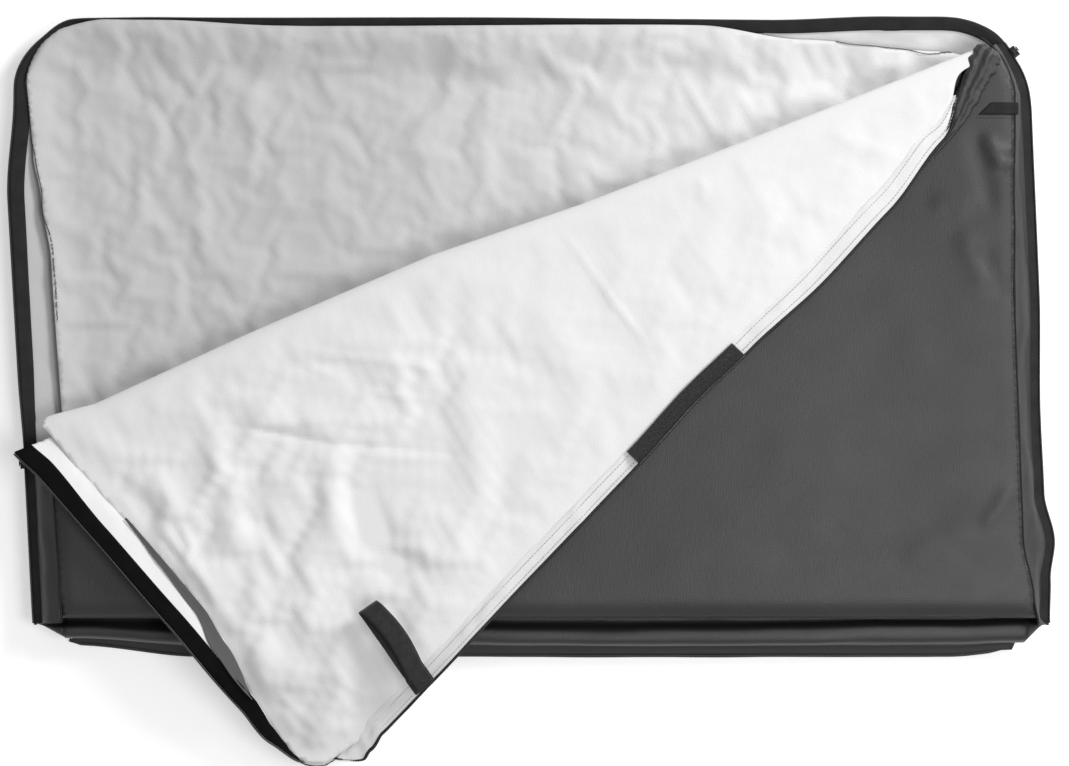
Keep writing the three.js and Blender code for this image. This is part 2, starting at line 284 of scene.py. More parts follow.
def grid_faces(rows, columns, closed=False):
    index = np.arange(rows * columns).reshape(rows, columns)
    if closed:
        index = np.hstack([index, index[:, :1]])
    a, b = index[:-1, :-1], index[:-1, 1:]
    c, d = index[1:, 1:], index[1:, :-1]
    return np.stack([a, b, c, d], axis=-1).reshape(-1, 4)


def grid_object(name, points, material, closed=False):
    """A sheet from rows and columns of 3-D points."""
    return new_object(name, points.reshape(-1, 3), grid_faces(*points.shape[:2], closed), material)


def raised(plan, z):
    """Plan points at a height, or each at its own."""
    return np.column_stack([plan, np.broadcast_to(z, len(plan))])


def square(name, half, material):
    """A flat square about the origin."""
    corners = [(-half, -half, 0), (half, -half, 0), (half, half, 0), (-half, half, 0)]
    return new_object(name, corners, [(0, 1, 2, 3)], material)


def catmull_rom(take, i, f):
    """The smooth curve between control points i and i + 1, a share f of the way along."""
    p0, p1, p2, p3 = take(i - 1), take(i), take(i + 1), take(i + 2)
    return 0.5 * (
        2 * p1
        + (p2 - p0) * f
        + (2 * p0 - 5 * p1 + 4 * p2 - p3) * f**2
        + (3 * p1 - p0 - 3 * p2 + p3) * f**3
    )


def smooth_curve(points, count):
    """A smooth curve through control points; points is (..., k, 2 or 3)."""
    points = np.asarray(points, float)
    last = points.shape[-2] - 1
    t = np.linspace(0, last, count)
    i = np.minimum(t.astype(int), last - 1)
    return catmull_rom(lambda j: points[..., np.clip(j, 0, last), :], i, (t - i)[:, None])


def wall(name, material, start, end, profile, columns=9, step=5 * MM, turn=None, ripple=None):
    """A strip along the ridge. start and end give the ridge distance for an inset; profile(s)
    gives control points (inset, z) for each s, and ripple(s, t) moves them in and up."""
    rows = max(3, int((end(0) - start(0)) / step))
    f = np.linspace(0, 1, rows)
    first, last = smooth_curve(profile(np.array([start(0), end(0)])), columns)[..., 0]
    starts = np.vectorize(start)(first)
    ends = np.vectorize(end)(last)
    s = starts[None, :] + f[:, None] * (ends - starts)[None, :]
    lines = [smooth_curve(profile(s[:, k]), columns)[:, k] for k in range(columns)]
    inset, z = np.moveaxis(np.stack(lines, axis=1), -1, 0)
    if ripple is not None:
        push, lift = ripple(s, np.linspace(0, 1, columns)[None, :] * np.ones((rows, 1)))
        inset = inset + push
        z = z + lift
    points = np.concatenate([on_ridge(s, inset), z[..., None]], axis=-1)
    if turn is not None:
        points = turn(points.reshape(-1, 3)).reshape(points.shape)
    return grid_object(name, points, material)


def thick(obj, thickness, offset=0.0):
    """Gives a sheet its thickness: half to each side, or all to one at offset 1 or -1."""
    solid = obj.modifiers.new("thickness", "SOLIDIFY")
    solid.thickness = thickness
    solid.offset = offset
    return obj


def fit_out(piece, body, slot=None, *nodes):
    """Says what a piece rides on and which CAD nodes it stands for. slot is not used."""
    if nodes:
        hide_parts(*nodes)
    if body:
        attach(piece, body)
    return piece


def region(outline, spacing):
    """Triangles that fill a plan outline at about that spacing, and the outline's own points."""
    closed = np.vstack([outline, outline[:1]])
    run = run_along(closed)
    count = int(run[-1] / spacing)
    edge = interpolated(np.linspace(0, run[-1], count, endpoint=False), run, closed)
    lo, hi = edge.min(0), edge.max(0)
    rows = []
    row_pitch = 0.866 * spacing
    for k, y in enumerate(np.arange(lo[1], hi[1], row_pitch)):
        xs = np.arange(lo[0] + (k % 2) * spacing / 2, hi[0], spacing)
        rows.append(raised(xs, y))
    inner = np.vstack(rows)
    inner = inner[inside(inner, edge) & (edge_distance(inner, edge) > 0.55 * spacing)]
    ring = [(i, (i + 1) % count) for i in range(count)]
    verts = [Vector(p) for p in np.vstack([edge, inner])]
    made = geometry.delaunay_2d_cdt(verts, ring, [list(range(count))], 1, 1e-7)
    return np.array([v[:] for v in made[0]]), [tuple(f) for f in made[2]], edge


def inside(points, ring):
    """Which plan points are inside a closed outline."""
    x, y = points.T
    result = np.zeros(len(points), bool)
    for (ax, ay), (bx, by) in zip(ring, np.roll(ring, -1, axis=0)):
        if ay == by:
            continue
        hit = (ay > y) != (by > y)
        result ^= hit & (x < (bx - ax) * (y - ay) / (by - ay) + ax)
    return result


def nearest(points, ring):
    """The index of the ring's point nearest to each plan point, and how far off it is."""
    tree = kd_tree(ring)
    found = [tree.find((x, y, 0)) for x, y in points]
    return [f[1] for f in found], np.array([f[2] for f in found])


def edge_distance(points, ring):
    return nearest(points, ring)[1]


def kd_tree(ring):
    tree = KDTree(len(ring))
    for i, (x, y) in enumerate(ring):
        tree.insert((x, y, 0), i)
    tree.balance()
    return tree


CLOTH = {
    "quality": 5,
    "mass": 0.15,
    "tension_stiffness": 20,
    "compression_stiffness": 20,
    "shear_stiffness": 8,
    "air_damping": 1.5,
    "vertex_group_mass": "held",
}


def settled(outline, spacing, grow, stiff, frames, seed):
    """Heights of a cloth cut a little too large for its held edge and let down on a table.

    Gives a function of plan points."""
    points, faces, edge = region(outline, spacing)
    start = 3 * MM + 1.5 * MM * layered(points[:, 0] * 9, points[:, 1] * 9, seed, 3)
    sheet = new_object("settling", raised(points, start), faces, WHITE)
    group = sheet.vertex_groups.new(name="held")
    group.add(list(range(len(edge))), 1.0, "REPLACE")
    table = square("table", 2.0, WHITE)
    table.modifiers.new("Collision", "COLLISION")
    table.collision.thickness_outer = 0.5 * MM
    cloth = sheet.modifiers.new("Cloth", "CLOTH")
    for setting, value in {**CLOTH, "bending_stiffness": stiff, "shrink_min": -grow}.items():
        setattr(cloth.settings, setting, value)
    cloth.collision_settings.distance_min = 0.8 * MM
    cloth.collision_settings.use_self_collision = False
    cloth.point_cache.frame_end = frames
    for f in range(1, frames + 1):
        bpy.context.scene.frame_set(f)
    shape = sheet.evaluated_get(bpy.context.evaluated_depsgraph_get()).to_mesh()
    height = np.array([v.co.z for v in shape.vertices])
    bpy.data.objects.remove(sheet)
    bpy.data.objects.remove(table)
    bpy.context.scene.frame_set(1)
    tree = kd_tree(points)

    def lift(xy):
        result = []
        for x, y in xy:
            found = tree.find_n((x, y, 0), 4)
            weight = np.array([1 / (f[2] + 1e-4) ** 2 for f in found])
            result.append(float(height[[f[1] for f in found]] @ (weight / weight.sum())))
        return np.array(result)

    return lift


def tube(name, material, line, radius, sides=8, swell=1.0):
    """A round rail along a line of 3-D points."""
    line = np.asarray(line, float)
    along = unit(np.gradient(line, axis=0))
    side = unit(np.cross(along, UP))
    angle = np.linspace(0, 2 * np.pi, sides, endpoint=False)[None, :, None]
    ring = side[:, None] * np.cos(angle) + np.cross(side, along)[:, None] * np.sin(angle)
    rows = len(line)
    points = line[:, None] + ring * (radius * swell * np.ones(rows))[:, None, None]
    faces = [tuple(f) for f in grid_faces(rows, sides, closed=True)]
    faces.append(tuple(range(sides))[::-1])
    faces.append(tuple(range((rows - 1) * sides, rows * sides)))
    return new_object(name, points.reshape(-1, 3), faces, material)


def zip_coil(name, line):
    """Zip teeth along a line with a point at each COIL_STEP: every other point swells."""
    swell = 1 + 0.28 * np.cos(np.arange(len(line)) * np.pi)
    return tube(name, COIL, line, COIL_RADIUS, 6, swell)


# Stitches: spacing, length and radius
OVERLOCK = np.array((2.4, 2.6, 0.5)) * MM
FINE_STITCH = np.array((3.4, 2.4, 0.35)) * MM
TOP_STITCH = np.array((4, 2.8, 0.3)) * MM
LONG_STITCH = np.array((4, 3, 0.4)) * MM
BOX_STITCH = np.array((2.8, 2.0, 0.4)) * MM


def stitches(name, material, line, kind):
    """A row of thread stitches along a line of 3-D points: rods of four rings with thin ends."""
    spacing, length, radius = kind
    run = run_along(line)
    at = np.arange(spacing / 2, run[-1] - spacing / 2, spacing)
    centre = interpolated(at, run, line)
    along = unit(interpolated(at + length / 2, run, line) - centre)
    side = unit(np.cross(along, UP))
    angle = (2 * np.pi * np.arange(5) / 5)[:, None]
    ring = side[:, None] * np.cos(angle) + np.cross(side, along)[:, None] * np.sin(angle)
    share = np.array([-0.5, -0.3, 0.3, 0.5])[:, None, None]
    wide = np.array([0.25, 1, 1, 0.25])[:, None, None]
    points = centre[:, None, None] + along[:, None, None] * share * length + ring[:, None] * radius * wide
    rod = [*map(tuple, grid_faces(4, 5, closed=True)), (4, 3, 2, 1, 0), (15, 16, 17, 18, 19)]
    faces = [tuple(base + i for i in face) for base in range(0, 20 * len(at), 20) for face in rod]
    return new_object(name, points.reshape(-1, 3), faces, material)


# ---------------------------------------------------------------- materials

class Nodes:
    """A material under construction: shader sockets are set on the Principled node itself."""

    def __init__(self, name, color, roughness, **sockets):
        self.material = bpy.data.materials.new(name)
        self.material.use_nodes = True
        self.tree = self.material.node_tree
        self.shader = self.tree.nodes["Principled BSDF"]
        self.shader.inputs["Base Color"].default_value = (*color, 1)
        self.shader.inputs["Roughness"].default_value = roughness
        for socket, value in sockets.items():
            self.shader.inputs[socket.replace("_", " ")].default_value = value
        self.place = self.add("ShaderNodeTexCoord").outputs["Object"]

    def join(self, value, socket):
        if isinstance(value, bpy.types.NodeSocket):
            self.tree.links.new(value, socket)
        else:
            socket.default_value = value

    def add(self, kind, **inputs):
        node = self.tree.nodes.new(kind)
        for name, value in inputs.items():
            self.join(value, node.inputs[name.replace("_", " ")])
        return node

    def noise(self, scale, detail):
        return self.add("ShaderNodeTexNoise", Vector=self.place, Scale=scale, Detail=detail).outputs["Fac"]

    def threads(self, scale, stretch, turn):
        """Noise drawn out into threads."""
        place = self.add("ShaderNodeMapping", Vector=self.place, Scale=stretch, Rotation=(0, 0, turn))
        return self.add("ShaderNodeTexNoise", Vector=place.outputs["Vector"], Scale=scale).outputs["Fac"]

    def math(self, operation, a, b):
        node = self.tree.nodes.new("ShaderNodeMath")
        node.operation = operation
        self.join(a, node.inputs[0])
        self.join(b, node.inputs[1])
        return node.outputs[0]

    def colour(self, factor, dark, light, start=0.3, end=0.7):
        ramp = self.add("ShaderNodeValToRGB", Fac=factor)
        for stop, position, color in zip(ramp.color_ramp.elements, (start, end), (dark, light)):
            stop.position = position
            stop.color = (*color, 1)
        self.join(ramp.outputs["Color"], self.shader.inputs["Base Color"])

    def roughness(self, factor, least, most):
        node = self.add("ShaderNodeMapRange", Value=factor, To_Min=least, To_Max=most)
        self.join(node.outputs["Result"], self.shader.inputs["Roughness"])

    def bump(self, height, distance, strength=1.0):
        node = self.add("ShaderNodeBump", Height=height, Distance=distance, Strength=strength)
        normal = self.shader.inputs["Normal"]
        if normal.is_linked:
            self.join(normal.links[0].from_socket, node.inputs["Normal"])
        self.join(node.outputs["Normal"], normal)


def grey(value, tint=0.0):
    """A grey colour with a little blue for a tint."""
    return (value, value, value * (1 + tint))


def weave(material, scale, distance, turn=0.0):
    """A plain weave as two crossed sets of uneven threads, for the fine relief of cloth."""
    warp = material.threads(scale, (1, 0.12, 1), turn)
    weft = material.threads(scale, (0.12, 1, 1), turn)
    material.bump(material.math("ADD", warp, weft), distance)


def outer_fabric():
    m = Nodes("charcoal coated fabric", grey(0.02), 0.5, Specular_IOR_Level=0.7)
    m.colour(m.noise(9, 5), grey(0.017, 0.02), grey(0.024, 0.03))
    m.roughness(m.noise(24, 4), 0.46, 0.58)
    weave(m, 900, 0.00022)
    m.bump(m.noise(45, 4), 0.0005, 0.3)
    return m.material


def lining_fabric(name, value, painted_light_ramp=0.0):
    """painted_light_ramp is how far the colour runs from darker at the left end to lighter at the right:
    painted shade at the left and painted light at the right.
    """
    m = Nodes(name, grey(value), 0.85, Specular_IOR_Level=0.2, Sheen_Weight=0.1)
    # A ramp over x, added to the colour noise: painted shade towards the left, painted light towards the
    # right.
    fade = m.add("ShaderNodeSeparateXYZ", Vector=m.place).outputs["X"]
    patch = m.math("ADD", m.math("MULTIPLY", m.noise(14, 4), 0.25), m.math("MULTIPLY", fade, 0.8))
    m.colour(patch, grey(value - painted_light_ramp), grey(min(value * 1.03 + painted_light_ramp, 0.9)), 0.0, 0.5)
    weave(m, 1100, 0.00018)
    m.bump(m.noise(26, 5), 0.0011, 0.5)
    return m.material


def tape_fabric(name, value, gloss):
    m = Nodes(name, grey(value), 0.72, Specular_IOR_Level=gloss, Sheen_Weight=gloss / 4)
    m.colour(m.noise(60, 4), grey(0.75 * value), grey(1.4 * value))
    weave(m, 1300, 0.00025)
    return m.material


def coil_plastic():
    m = Nodes("black nylon coil", grey(0.012), 0.38)
    m.roughness(m.noise(80, 3), 0.32, 0.46)
    return m.material


def webbing_fabric():
    m = Nodes("black webbing", grey(0.018), 0.72, Specular_IOR_Level=0.3, Sheen_Weight=0.3)
    m.colour(m.noise(120, 4), grey(0.013), grey(0.025))
    weave(m, 330, 0.00045, math.radians(45))
    return m.material


def hook_fabric():
    m = Nodes("hook and loop", grey(0.02), 0.95, Specular_IOR_Level=0.1, Sheen_Weight=0.6)
    m.colour(m.noise(500, 5), grey(0.008), grey(0.04))
    m.bump(m.noise(700, 5), 0.0012)
    return m.material


def slider_metal():
    m = Nodes("black enamelled metal", grey(0.03), 0.35, Metallic=0.85)
    m.colour(m.noise(200, 4), grey(0.02), grey(0.06), 0.45, 0.8)
    m.roughness(m.noise(150, 4), 0.28, 0.5)
    return m.material


def thread(name, value):
    m = Nodes(name, grey(value), 0.7, Specular_IOR_Level=0.3)
    m.colour(m.noise(900, 3), grey(value * 0.7), grey(min(value * 1.2, 0.9)))
    return m.material


CHARCOAL = outer_fabric()
WHITE = lining_fabric("white lining", 0.82)
# The back's lining: the white lining painted darker for the shade in the tray, with painted shade to the
# left and painted light to the right.
SHADED_WHITE = lining_fabric("white lining, back, painted shade and light", 0.76, 0.17)
# The back's side lining: the white lining painted darker for painted shade, with painted shade to the left
# and painted light to the right.
SHADED_BOXING_LINING = lining_fabric("white lining, side, painted shade and light", 0.74, 0.22)
TAPE = tape_fabric("black zip tape", 0.012, 0.28)
# The flap's zip tape: the same tape painted darker, for painted shade on the side that faces away from the
# lamps.
SHADED_FLAP_TAPE = tape_fabric("black zip tape, flap, painted shade", 0.003, 0.08)
COIL = coil_plastic()
WEBBING = webbing_fabric()
HOOK = hook_fabric()
METAL = slider_metal()
DARK_THREAD = thread("dark thread", 0.03)
BLACK_THREAD = thread("black thread", 0.06)
# The lining in the boxing's tuck, painted dark grey: painted shade in the fold.
SHADED_FOLD_LINING = lining_fabric("turned lining, painted shade", 0.10)
WHITE_THREAD = thread("white thread", 0.55)


# ---------------------------------------------------------------- shared shapes

def constant(value):
    """A wall's end at one ridge distance, whatever the inset."""
    return lambda inset: value


def at_fold(side):
    """A wall's end cut along the fold."""
    return lambda inset: crossing(inset, side)


def controls(s, *points):
    """Control points (inset, z), each a number or an array over s, stacked for each s."""
    pairs = [np.stack([np.broadcast_to(value, s.shape) for value in point], -1) for point in points]
    return np.stack(pairs, axis=-2)


def over(s, *pairs):
    """A value that changes smoothly with the distance s along the ridge."""
    at, value = zip(*pairs)
    at = np.array(at)
    i = np.clip(np.searchsorted(at, s) - 1, 0, len(at) - 2)
    f = ease((s - at[i]) / (at[i + 1] - at[i]))
    value = np.array(value)
    return value[i] * (1 - f) + value[i + 1] * f


def over_mm(s, *groups):
    """over, in millimetres: a group is a ridge distance in metres and its pairs (past it, value)."""
    pairs = [(start + at * MM, value * MM) for start, *steps in groups for at, value in steps]
    return over(s, *pairs)


def crumple(amount, scale, seed):
    """Soft random folds for a wall: how far they push it in and up, none at its two edges."""

    def ripple(s, t):
        body = amount * np.sin(np.pi * np.clip(t, 0, 1))
        push = layered(s * scale, t * 1.7, seed) * body
        return push, 0.6 * layered(s * scale, t * 1.3 + 9, seed + 5) * body

    return ripple


# ---------------------------------------------------------------- back tray

def ridge_slack(s):
    """How far the soft zipped edge has pulled in from the frame's ridge."""
    return over_mm(
        s,
        (0, (0, 1)),
        (S_CORNER_LEFT, (-490, 2), (-400, 0), (-200, 0), (-70, 14), (10, 18), (60, 12), (170, 10), (600, 6),
         (860, 5.5)),
        (S_CORNER_RIGHT, (-140, 0), (-20, -1), (30, 5), (80, 6), (300, 5), (440, 9)),
        (RIDGE_LENGTH, (-150, 8), (-95, -2), (-50, 4.5), (0, 7)),
    )


def band_width(s):
    """The width of the black band that shows inside the back's edge."""
    return over_mm(
        s,
        (0, (0, 12)),
        (S_FOLD_LEFT, (0, 13), (100, 17)),
        (S_CORNER_LEFT, (-120, 18), (-30, 10), (30, 7), (80, 2), (170, 2), (260, 11)),
        (S_CORNER_RIGHT, (-420, 6), (-250, 14)),
        (RIDGE_LENGTH, (0, 12)),
    )


def build_back():
    whole = (constant(0.0), constant(RIDGE_LENGTH))

    def outer(s):
        slack = ridge_slack(s)
        return controls(
            s, (38 * MM, 0.8 * MM), (37 * MM, 2.5 * MM), (25 * MM, 10.5 * MM),
            (13 * MM + slack, 20.5 * MM), (11 * MM + slack, 22.6 * MM),
        )

    walls = wall("back_boxing_outer", CHARCOAL, *whole, outer, 10, ripple=crumple(2.4 * MM, 16, 3))
    thick(walls, FABRIC, -1)
    fit_out(walls, "back", "outer_fabric", "back_boxing_left", "back_boxing_corner_left", "back_boxing_top",
            "back_boxing_corner_right", "back_boxing_right")

    def band(s):
        slack = ridge_slack(s)
        wide = band_width(s)
        return controls(
            s, (wide + slack, 22.6 * MM), (0.6 * wide + slack, 24.3 * MM), (0.3 * MM + slack, BACK_COIL_Z),
        )

    tape = wall("back_zip_band", TAPE, *whole, band, 6, ripple=crumple(0.5 * MM, 20, 8))
    fit_out(thick(tape, TAPING, -1), "back", "zip_tape", "back_zip_tape")
    s = np.arange(0, RIDGE_LENGTH, COIL_STEP)
    coil = zip_coil("back_zip_coil", raised(on_ridge(s, ridge_slack(s) + COIL_INSET), BACK_COIL_Z))
    fit_out(coil, "back", "zip_coil", "back_zip_teeth")

    def inner(s):
        slack = ridge_slack(s)
        wide = band_width(s) + slack
        foot = over_mm(s, (0, (0, 44)), (S_FOLD_LEFT, (0, 54)), (S_CORNER_LEFT, (-250, 52), (-100, 44)),
                       (RIDGE_LENGTH, (0, 46)))
        return controls(
            s, (np.maximum(wide - 6 * MM, 1 * MM + slack), 22.4 * MM), (wide + 1 * MM, 20.8 * MM),
            (0.6 * wide + 0.4 * foot, 14.5 * MM), (0.25 * wide + 0.75 * foot, 8.5 * MM),
            (foot, LINING_ON_BACK - 0.5 * MM),
        )

    # The side lining carries painted shade.
    lining = wall("back_boxing_lining", SHADED_BOXING_LINING, *whole, inner, 14, 3.5 * MM,
                  ripple=crumple(1.6 * MM, 22, 12))
    fit_out(thick(lining, LINING), "back", "lining_fabric")
    build_back_panel()
    build_back_lining()
    build_back_seams()


def panel_outline(inset, bottom, chamfer):
    """A panel inside the ridge whose bottom corners are cut off and whose bottom seam rises."""
    line = on_ridge(np.linspace(0, RIDGE_LENGTH, 500), inset)
    corner_y = bottom + chamfer

    def side_x(end, further):
        return end[0] + (end[0] - further[0]) / (end[1] - further[1]) * (corner_y - end[1])

    left_x = side_x(line[0], line[5])
    right_x = side_x(line[-1], line[-6])
    middle = line[line[:, 1] > corner_y + 1 * MM]
    x = np.linspace(right_x - chamfer, left_x + chamfer, 60)
    seam = np.column_stack([x, bottom + gusset_rise(x)])
    return np.vstack([[(left_x, corner_y)], middle, [(right_x, corner_y)], seam])


def build_back_panel():
    outline = panel_outline(FLOOR_WELT_INSET, FLOOR_SEAM_Y + 1 * MM, 30 * MM)
    points, faces, edge = region(outline, 16 * MM)
    lift = 0.15 * MM * (1 + layered(points[:, 0] * 12, points[:, 1] * 12, 5))
    panel = new_object("back_panel", raised(points, 0.7 * MM + lift), faces, CHARCOAL)
    fit_out(thick(panel, PANEL), "back", "outer_fabric", "back_shell")


def lining_edge(s):
    """Inset of the loose back lining's edge: it climbs to the band along the top."""
    return over_mm(
        s,
        (0, (0, 44)),
        (S_FOLD_LEFT, (0, 46)),
        (S_CORNER_LEFT, (-270, 44), (-200, 37), (-150, 31), (-90, 29), (-30, 25), (50, 18), (100, 12),
         (170, 12), (300, 17)),
        (S_CORNER_RIGHT, (-360, 11), (-240, 26), (-80, 38)),
        (RIDGE_LENGTH, (0, 44)),
    )


def build_back_lining():
    s = np.linspace(0, RIDGE_LENGTH, 500)
    line = on_ridge(s, lining_edge(s))
    line = line[line[:, 1] > FLOOR_SEAM_Y + 50 * MM]
    bottom = FLOOR_SEAM_Y + 30 * MM
    outline = np.vstack([[line[0, 0] + 30 * MM, bottom], line, [line[-1, 0] - 30 * MM, bottom]])
    points, faces, _ = region(outline, 5.5 * MM)
    x, y = points.T
    near = edge_distance(points, RIDGE_P)
    wall_height = 18.5 * MM
    climb = wall_height * (1 - ease((near - 14 * MM) / (66 * MM)))
    lift = settled(outline, 11 * MM, grow=0.02, stiff=1.2, frames=34, seed=9)
    soft = 0.35 + 0.65 * ease((0.5 - near) / 0.4)
    stretch = layered(x * 9 + 2 * layered(x * 3, y * 3, 4), y * 4.2, 21, 2)
    crease = ridged(x * 13 + y * 4, y * 9 - x * 3, 33) ** 3
    relief = 0.85 * lift(points) + 2.2 * MM * (stretch + 1) + 0.7 * MM * crease
    surface = raised(points, LINING_ON_BACK + 1.2 * MM + climb + relief * soft)
    lining = new_object("back_lining_sheet", surface, faces, SHADED_WHITE)
    fit_out(thick(lining, LOOSE_LINING), "back", "lining_fabric", "back_lining")
    build_overlock(surface)


def build_back_seams():
    s = np.arange(0, RIDGE_LENGTH, 6 * MM)
    seam = raised(on_ridge(s, FLOOR_WELT_INSET), 1.6 * MM)
    fit_out(tube("back_floor_welt", TAPE, seam, 1.5 * MM), "back")
    x = np.linspace(low("bottom_gusset")[0] - 2 * MM, high("bottom_gusset")[0] - 4 * MM, 160)
    drawn_up = 4 * MM * (1 - ease((x - x[0]) / 0.015) * ease((x[-1] - x) / 0.03))
    y = FLOOR_SEAM_Y - 3.0 * MM + 0.5 * MM * noise(x * 14, x * 0, 3) + gusset_rise(x) + drawn_up
    seam = raised(np.column_stack([x, y]), 2.4 * MM)
    binding = tube("bottom_seam_binding", CHARCOAL, seam, 2.2 * MM)
    fit_out(binding, "back", "outer_fabric", "bottom_binding")

    def section(s):
        return controls(s, (28.5 * MM, 4.6 * MM), (21.5 * MM, 10.4 * MM), (14.6 * MM, 16.9 * MM))

    mate = wall("back_loop_tape", HOOK, *map(constant, strip_span()), section, 6)
    fit_out(thick(mate, 1.4 * MM), "back", "hook_and_loop", "back_loop_strip")


def build_overlock(surface):
    """The dark overlocked edge along the loose lining, on the left and at the top right."""
    left, right = S_CORNER_LEFT, S_CORNER_RIGHT
    for side, start, end in (("left", left - 0.34, left + 0.02), ("right", right - 0.2, right - 0.06)):
        s = np.arange(start, end, 1.6 * MM)
        ragged = 2.4 * MM * noise(s * 34, s * 0, 5) + 0.5 * MM * np.where(np.arange(len(s)) % 2, 1, -1)
        plan = on_ridge(s, lining_edge(s) + 1.2 * MM + ragged)
        line = raised(plan, surface[nearest(plan, surface[:, :2])[0], 2] + 0.7 * MM)
        edge = stitches(f"lining_overlock_{side}", DARK_THREAD, line, OVERLOCK)
        fit_out(edge, "back")


def strip_span():
    """The ridge distances between which the hook strip runs."""
    half = (high("back_loop_strip")[0] - low("back_loop_strip")[0]) / 2
    middle = ridge_s_near(node_centre("back_loop_strip")[0], high("back_zip_teeth")[1])
    return middle - half, middle + half


# ---------------------------------------------------------------- cover, below the fold

def seam_inset(s):
    """Inset of the seam between the cover's panel and its side: it runs straight past the corners."""
    return over_mm(
        s,
        (0, (0, SEAM_INSET / MM)),
        (S_CORNER_RIGHT, (-60, 13), (0, 17), (50, 23), (90, 27.5), (200, 32), (320, SEAM_INSET / MM)),
        (RIDGE_LENGTH, (-100, SEAM_INSET / MM), (-30, 26), (0, 22)),
    )


def cover_height(points):
    """Height of the cover's cloth: it sags a little and is round at its seams."""
    x, y = points.T
    index, away = nearest(points, RIDGE_P)
    hem = y - HEM_Y
    near = np.minimum(away - seam_inset(RIDGE_S[index]), hem)
    round_off = 2.2 * MM * (1 - ease(near / (14 * MM)))
    round_hem = 7 * MM * (1 - np.sqrt(np.clip(hem / (20 * MM), 0, 1)))
    belly = -3.5 * MM * ease(near / 0.16)
    broad = 1.3 * MM * layered(x * 3.4, y * 3.4, 61) * ease(near / 0.05)
    return COVER_TOP + 0.3 * MM - (round_off + round_hem) + belly + broad


def on_cover(plan, lift=0.0):
    """Points on the cover's cloth, or a little over it."""
    return raised(plan, cover_height(plan) + cover_wrinkles(plan) + lift)


def cover_outline(pull_in, bottom):
    """The shut cover's part below the fold."""
    start, end = crossing(SEAM_INSET, "left"), crossing(17 * MM, "right")
    sides = []
    for s in (np.linspace(0, start, 60), np.linspace(end, RIDGE_LENGTH, 200)):
        side = on_ridge(s, seam_inset(s) + pull_in)
        sides.append(side[side[:, 1] > bottom])
    left, right = sides
    return np.vstack([[(left[0, 0], bottom)], left, right, [(right[-1, 0], bottom)]])


def build_cover():
    points, faces, edge = region(cover_outline(0, HEM_Y - 1 * MM), 5.5 * MM)
    panel = new_object("cover_panel", on_cover(points), faces, CHARCOAL)
    fit_out(thick(panel, PANEL, -1), "cover", "outer_fabric", "cover_shell")
    points, faces, edge = region(cover_outline(3 * MM, HEM_Y + 8 * MM), 12 * MM)
    sag = 4.5 * MM + 1.5 * MM * (1 + layered(points[:, 0] * 9, points[:, 1] * 9, 71))
    lining = new_object("cover_lining_sheet", raised(points, cover_height(points) - sag), faces, WHITE)
    fit_out(thick(lining, LINING), "cover", "lining_fabric", "cover_lining")
    build_cover_wall("right", at_fold("right"), constant(RIDGE_LENGTH))
    build_cover_wall("left", constant(0.0), at_fold("left"))
    build_gusset()
    build_cover_seams()


def build_cover_seams():
    """The hem tape across the corner, and the stitch lines beside the seams."""
    right = high("cover_shell")[0]
    width = 14 * MM
    x0, x1 = right - 52 * MM, right - 6 * MM
    y0 = high("back_zip_teeth")[1] - 124 * MM
    outline = np.array([(x0, y0), (x1, y0), (x1, y0 + width), (x0 + width, y0 + width)])
    points, faces, _ = region(outline, 3 * MM)
    tape = new_object("corner_hem_tape", on_cover(points, 1.0 * MM), faces, TAPE)
    fit_out(thick(tape, 0.6 * MM), "cover")
    x = np.arange(x0 - 3 * MM, x1, 2 * MM)
    line = on_cover(np.column_stack([x, np.full_like(x, y0 - 3.5 * MM)]), 0.6 * MM)
    fit_out(stitches("corner_hem_stitch", BLACK_THREAD, line, FINE_STITCH), "cover")
    spans = {"right": (S_FOLD_RIGHT + 0.05, RIDGE_LENGTH - 0.02), "left": (0.02, S_FOLD_LEFT - 0.05)}
    for side, span in spans.items():
        s = np.arange(*span, 3 * MM)
        line = on_cover(on_ridge(s, seam_inset(s) + 3.5 * MM), 0.4 * MM)
        row = stitches(f"cover_top_stitch_{side}", BLACK_THREAD, line, TOP_STITCH)
        fit_out(row, "cover")


COVER_FOLDS = [
    # path in mm, width, height
    ([(500, 245), (508, 228), (515, 196), (531, 130)], 11, -4.5),
    ([(520, 235), (526, 215), (545, 186)], 9, 5),
    ([(522, 212), (540, 214), (556, 208)], 5, 2.5),
    ([(524, 204), (540, 196), (556, 190)], 5, 2),
    ([(505, 110), (515, 96), (526, 72), (552, 34)], 11, -4.5),
    ([(486, 125), (500, 104), (512, 80), (530, 45)], 13, 4),
    ([(452, 150), (480, 152), (510, 142)], 12, 3),
    ([(551, -165), (535, -198), (512, -225)], 9, 3.5),
    ([(420, -270), (455, -240), (520, -215)], 16, 2.5),
    ([(380, 60), (430, 20), (450, -60)], 30, 2.5),
    ([(120, -270), (200, -250), (300, -262)], 30, 2),
    ([(250, -120), (330, -160), (350, -220)], 34, 2.5),
]


def cover_wrinkles(points):
    """The height of the cover's folds, pressed flatter than the table says."""
    return 0.6 * fold_lines(points, COVER_FOLDS)


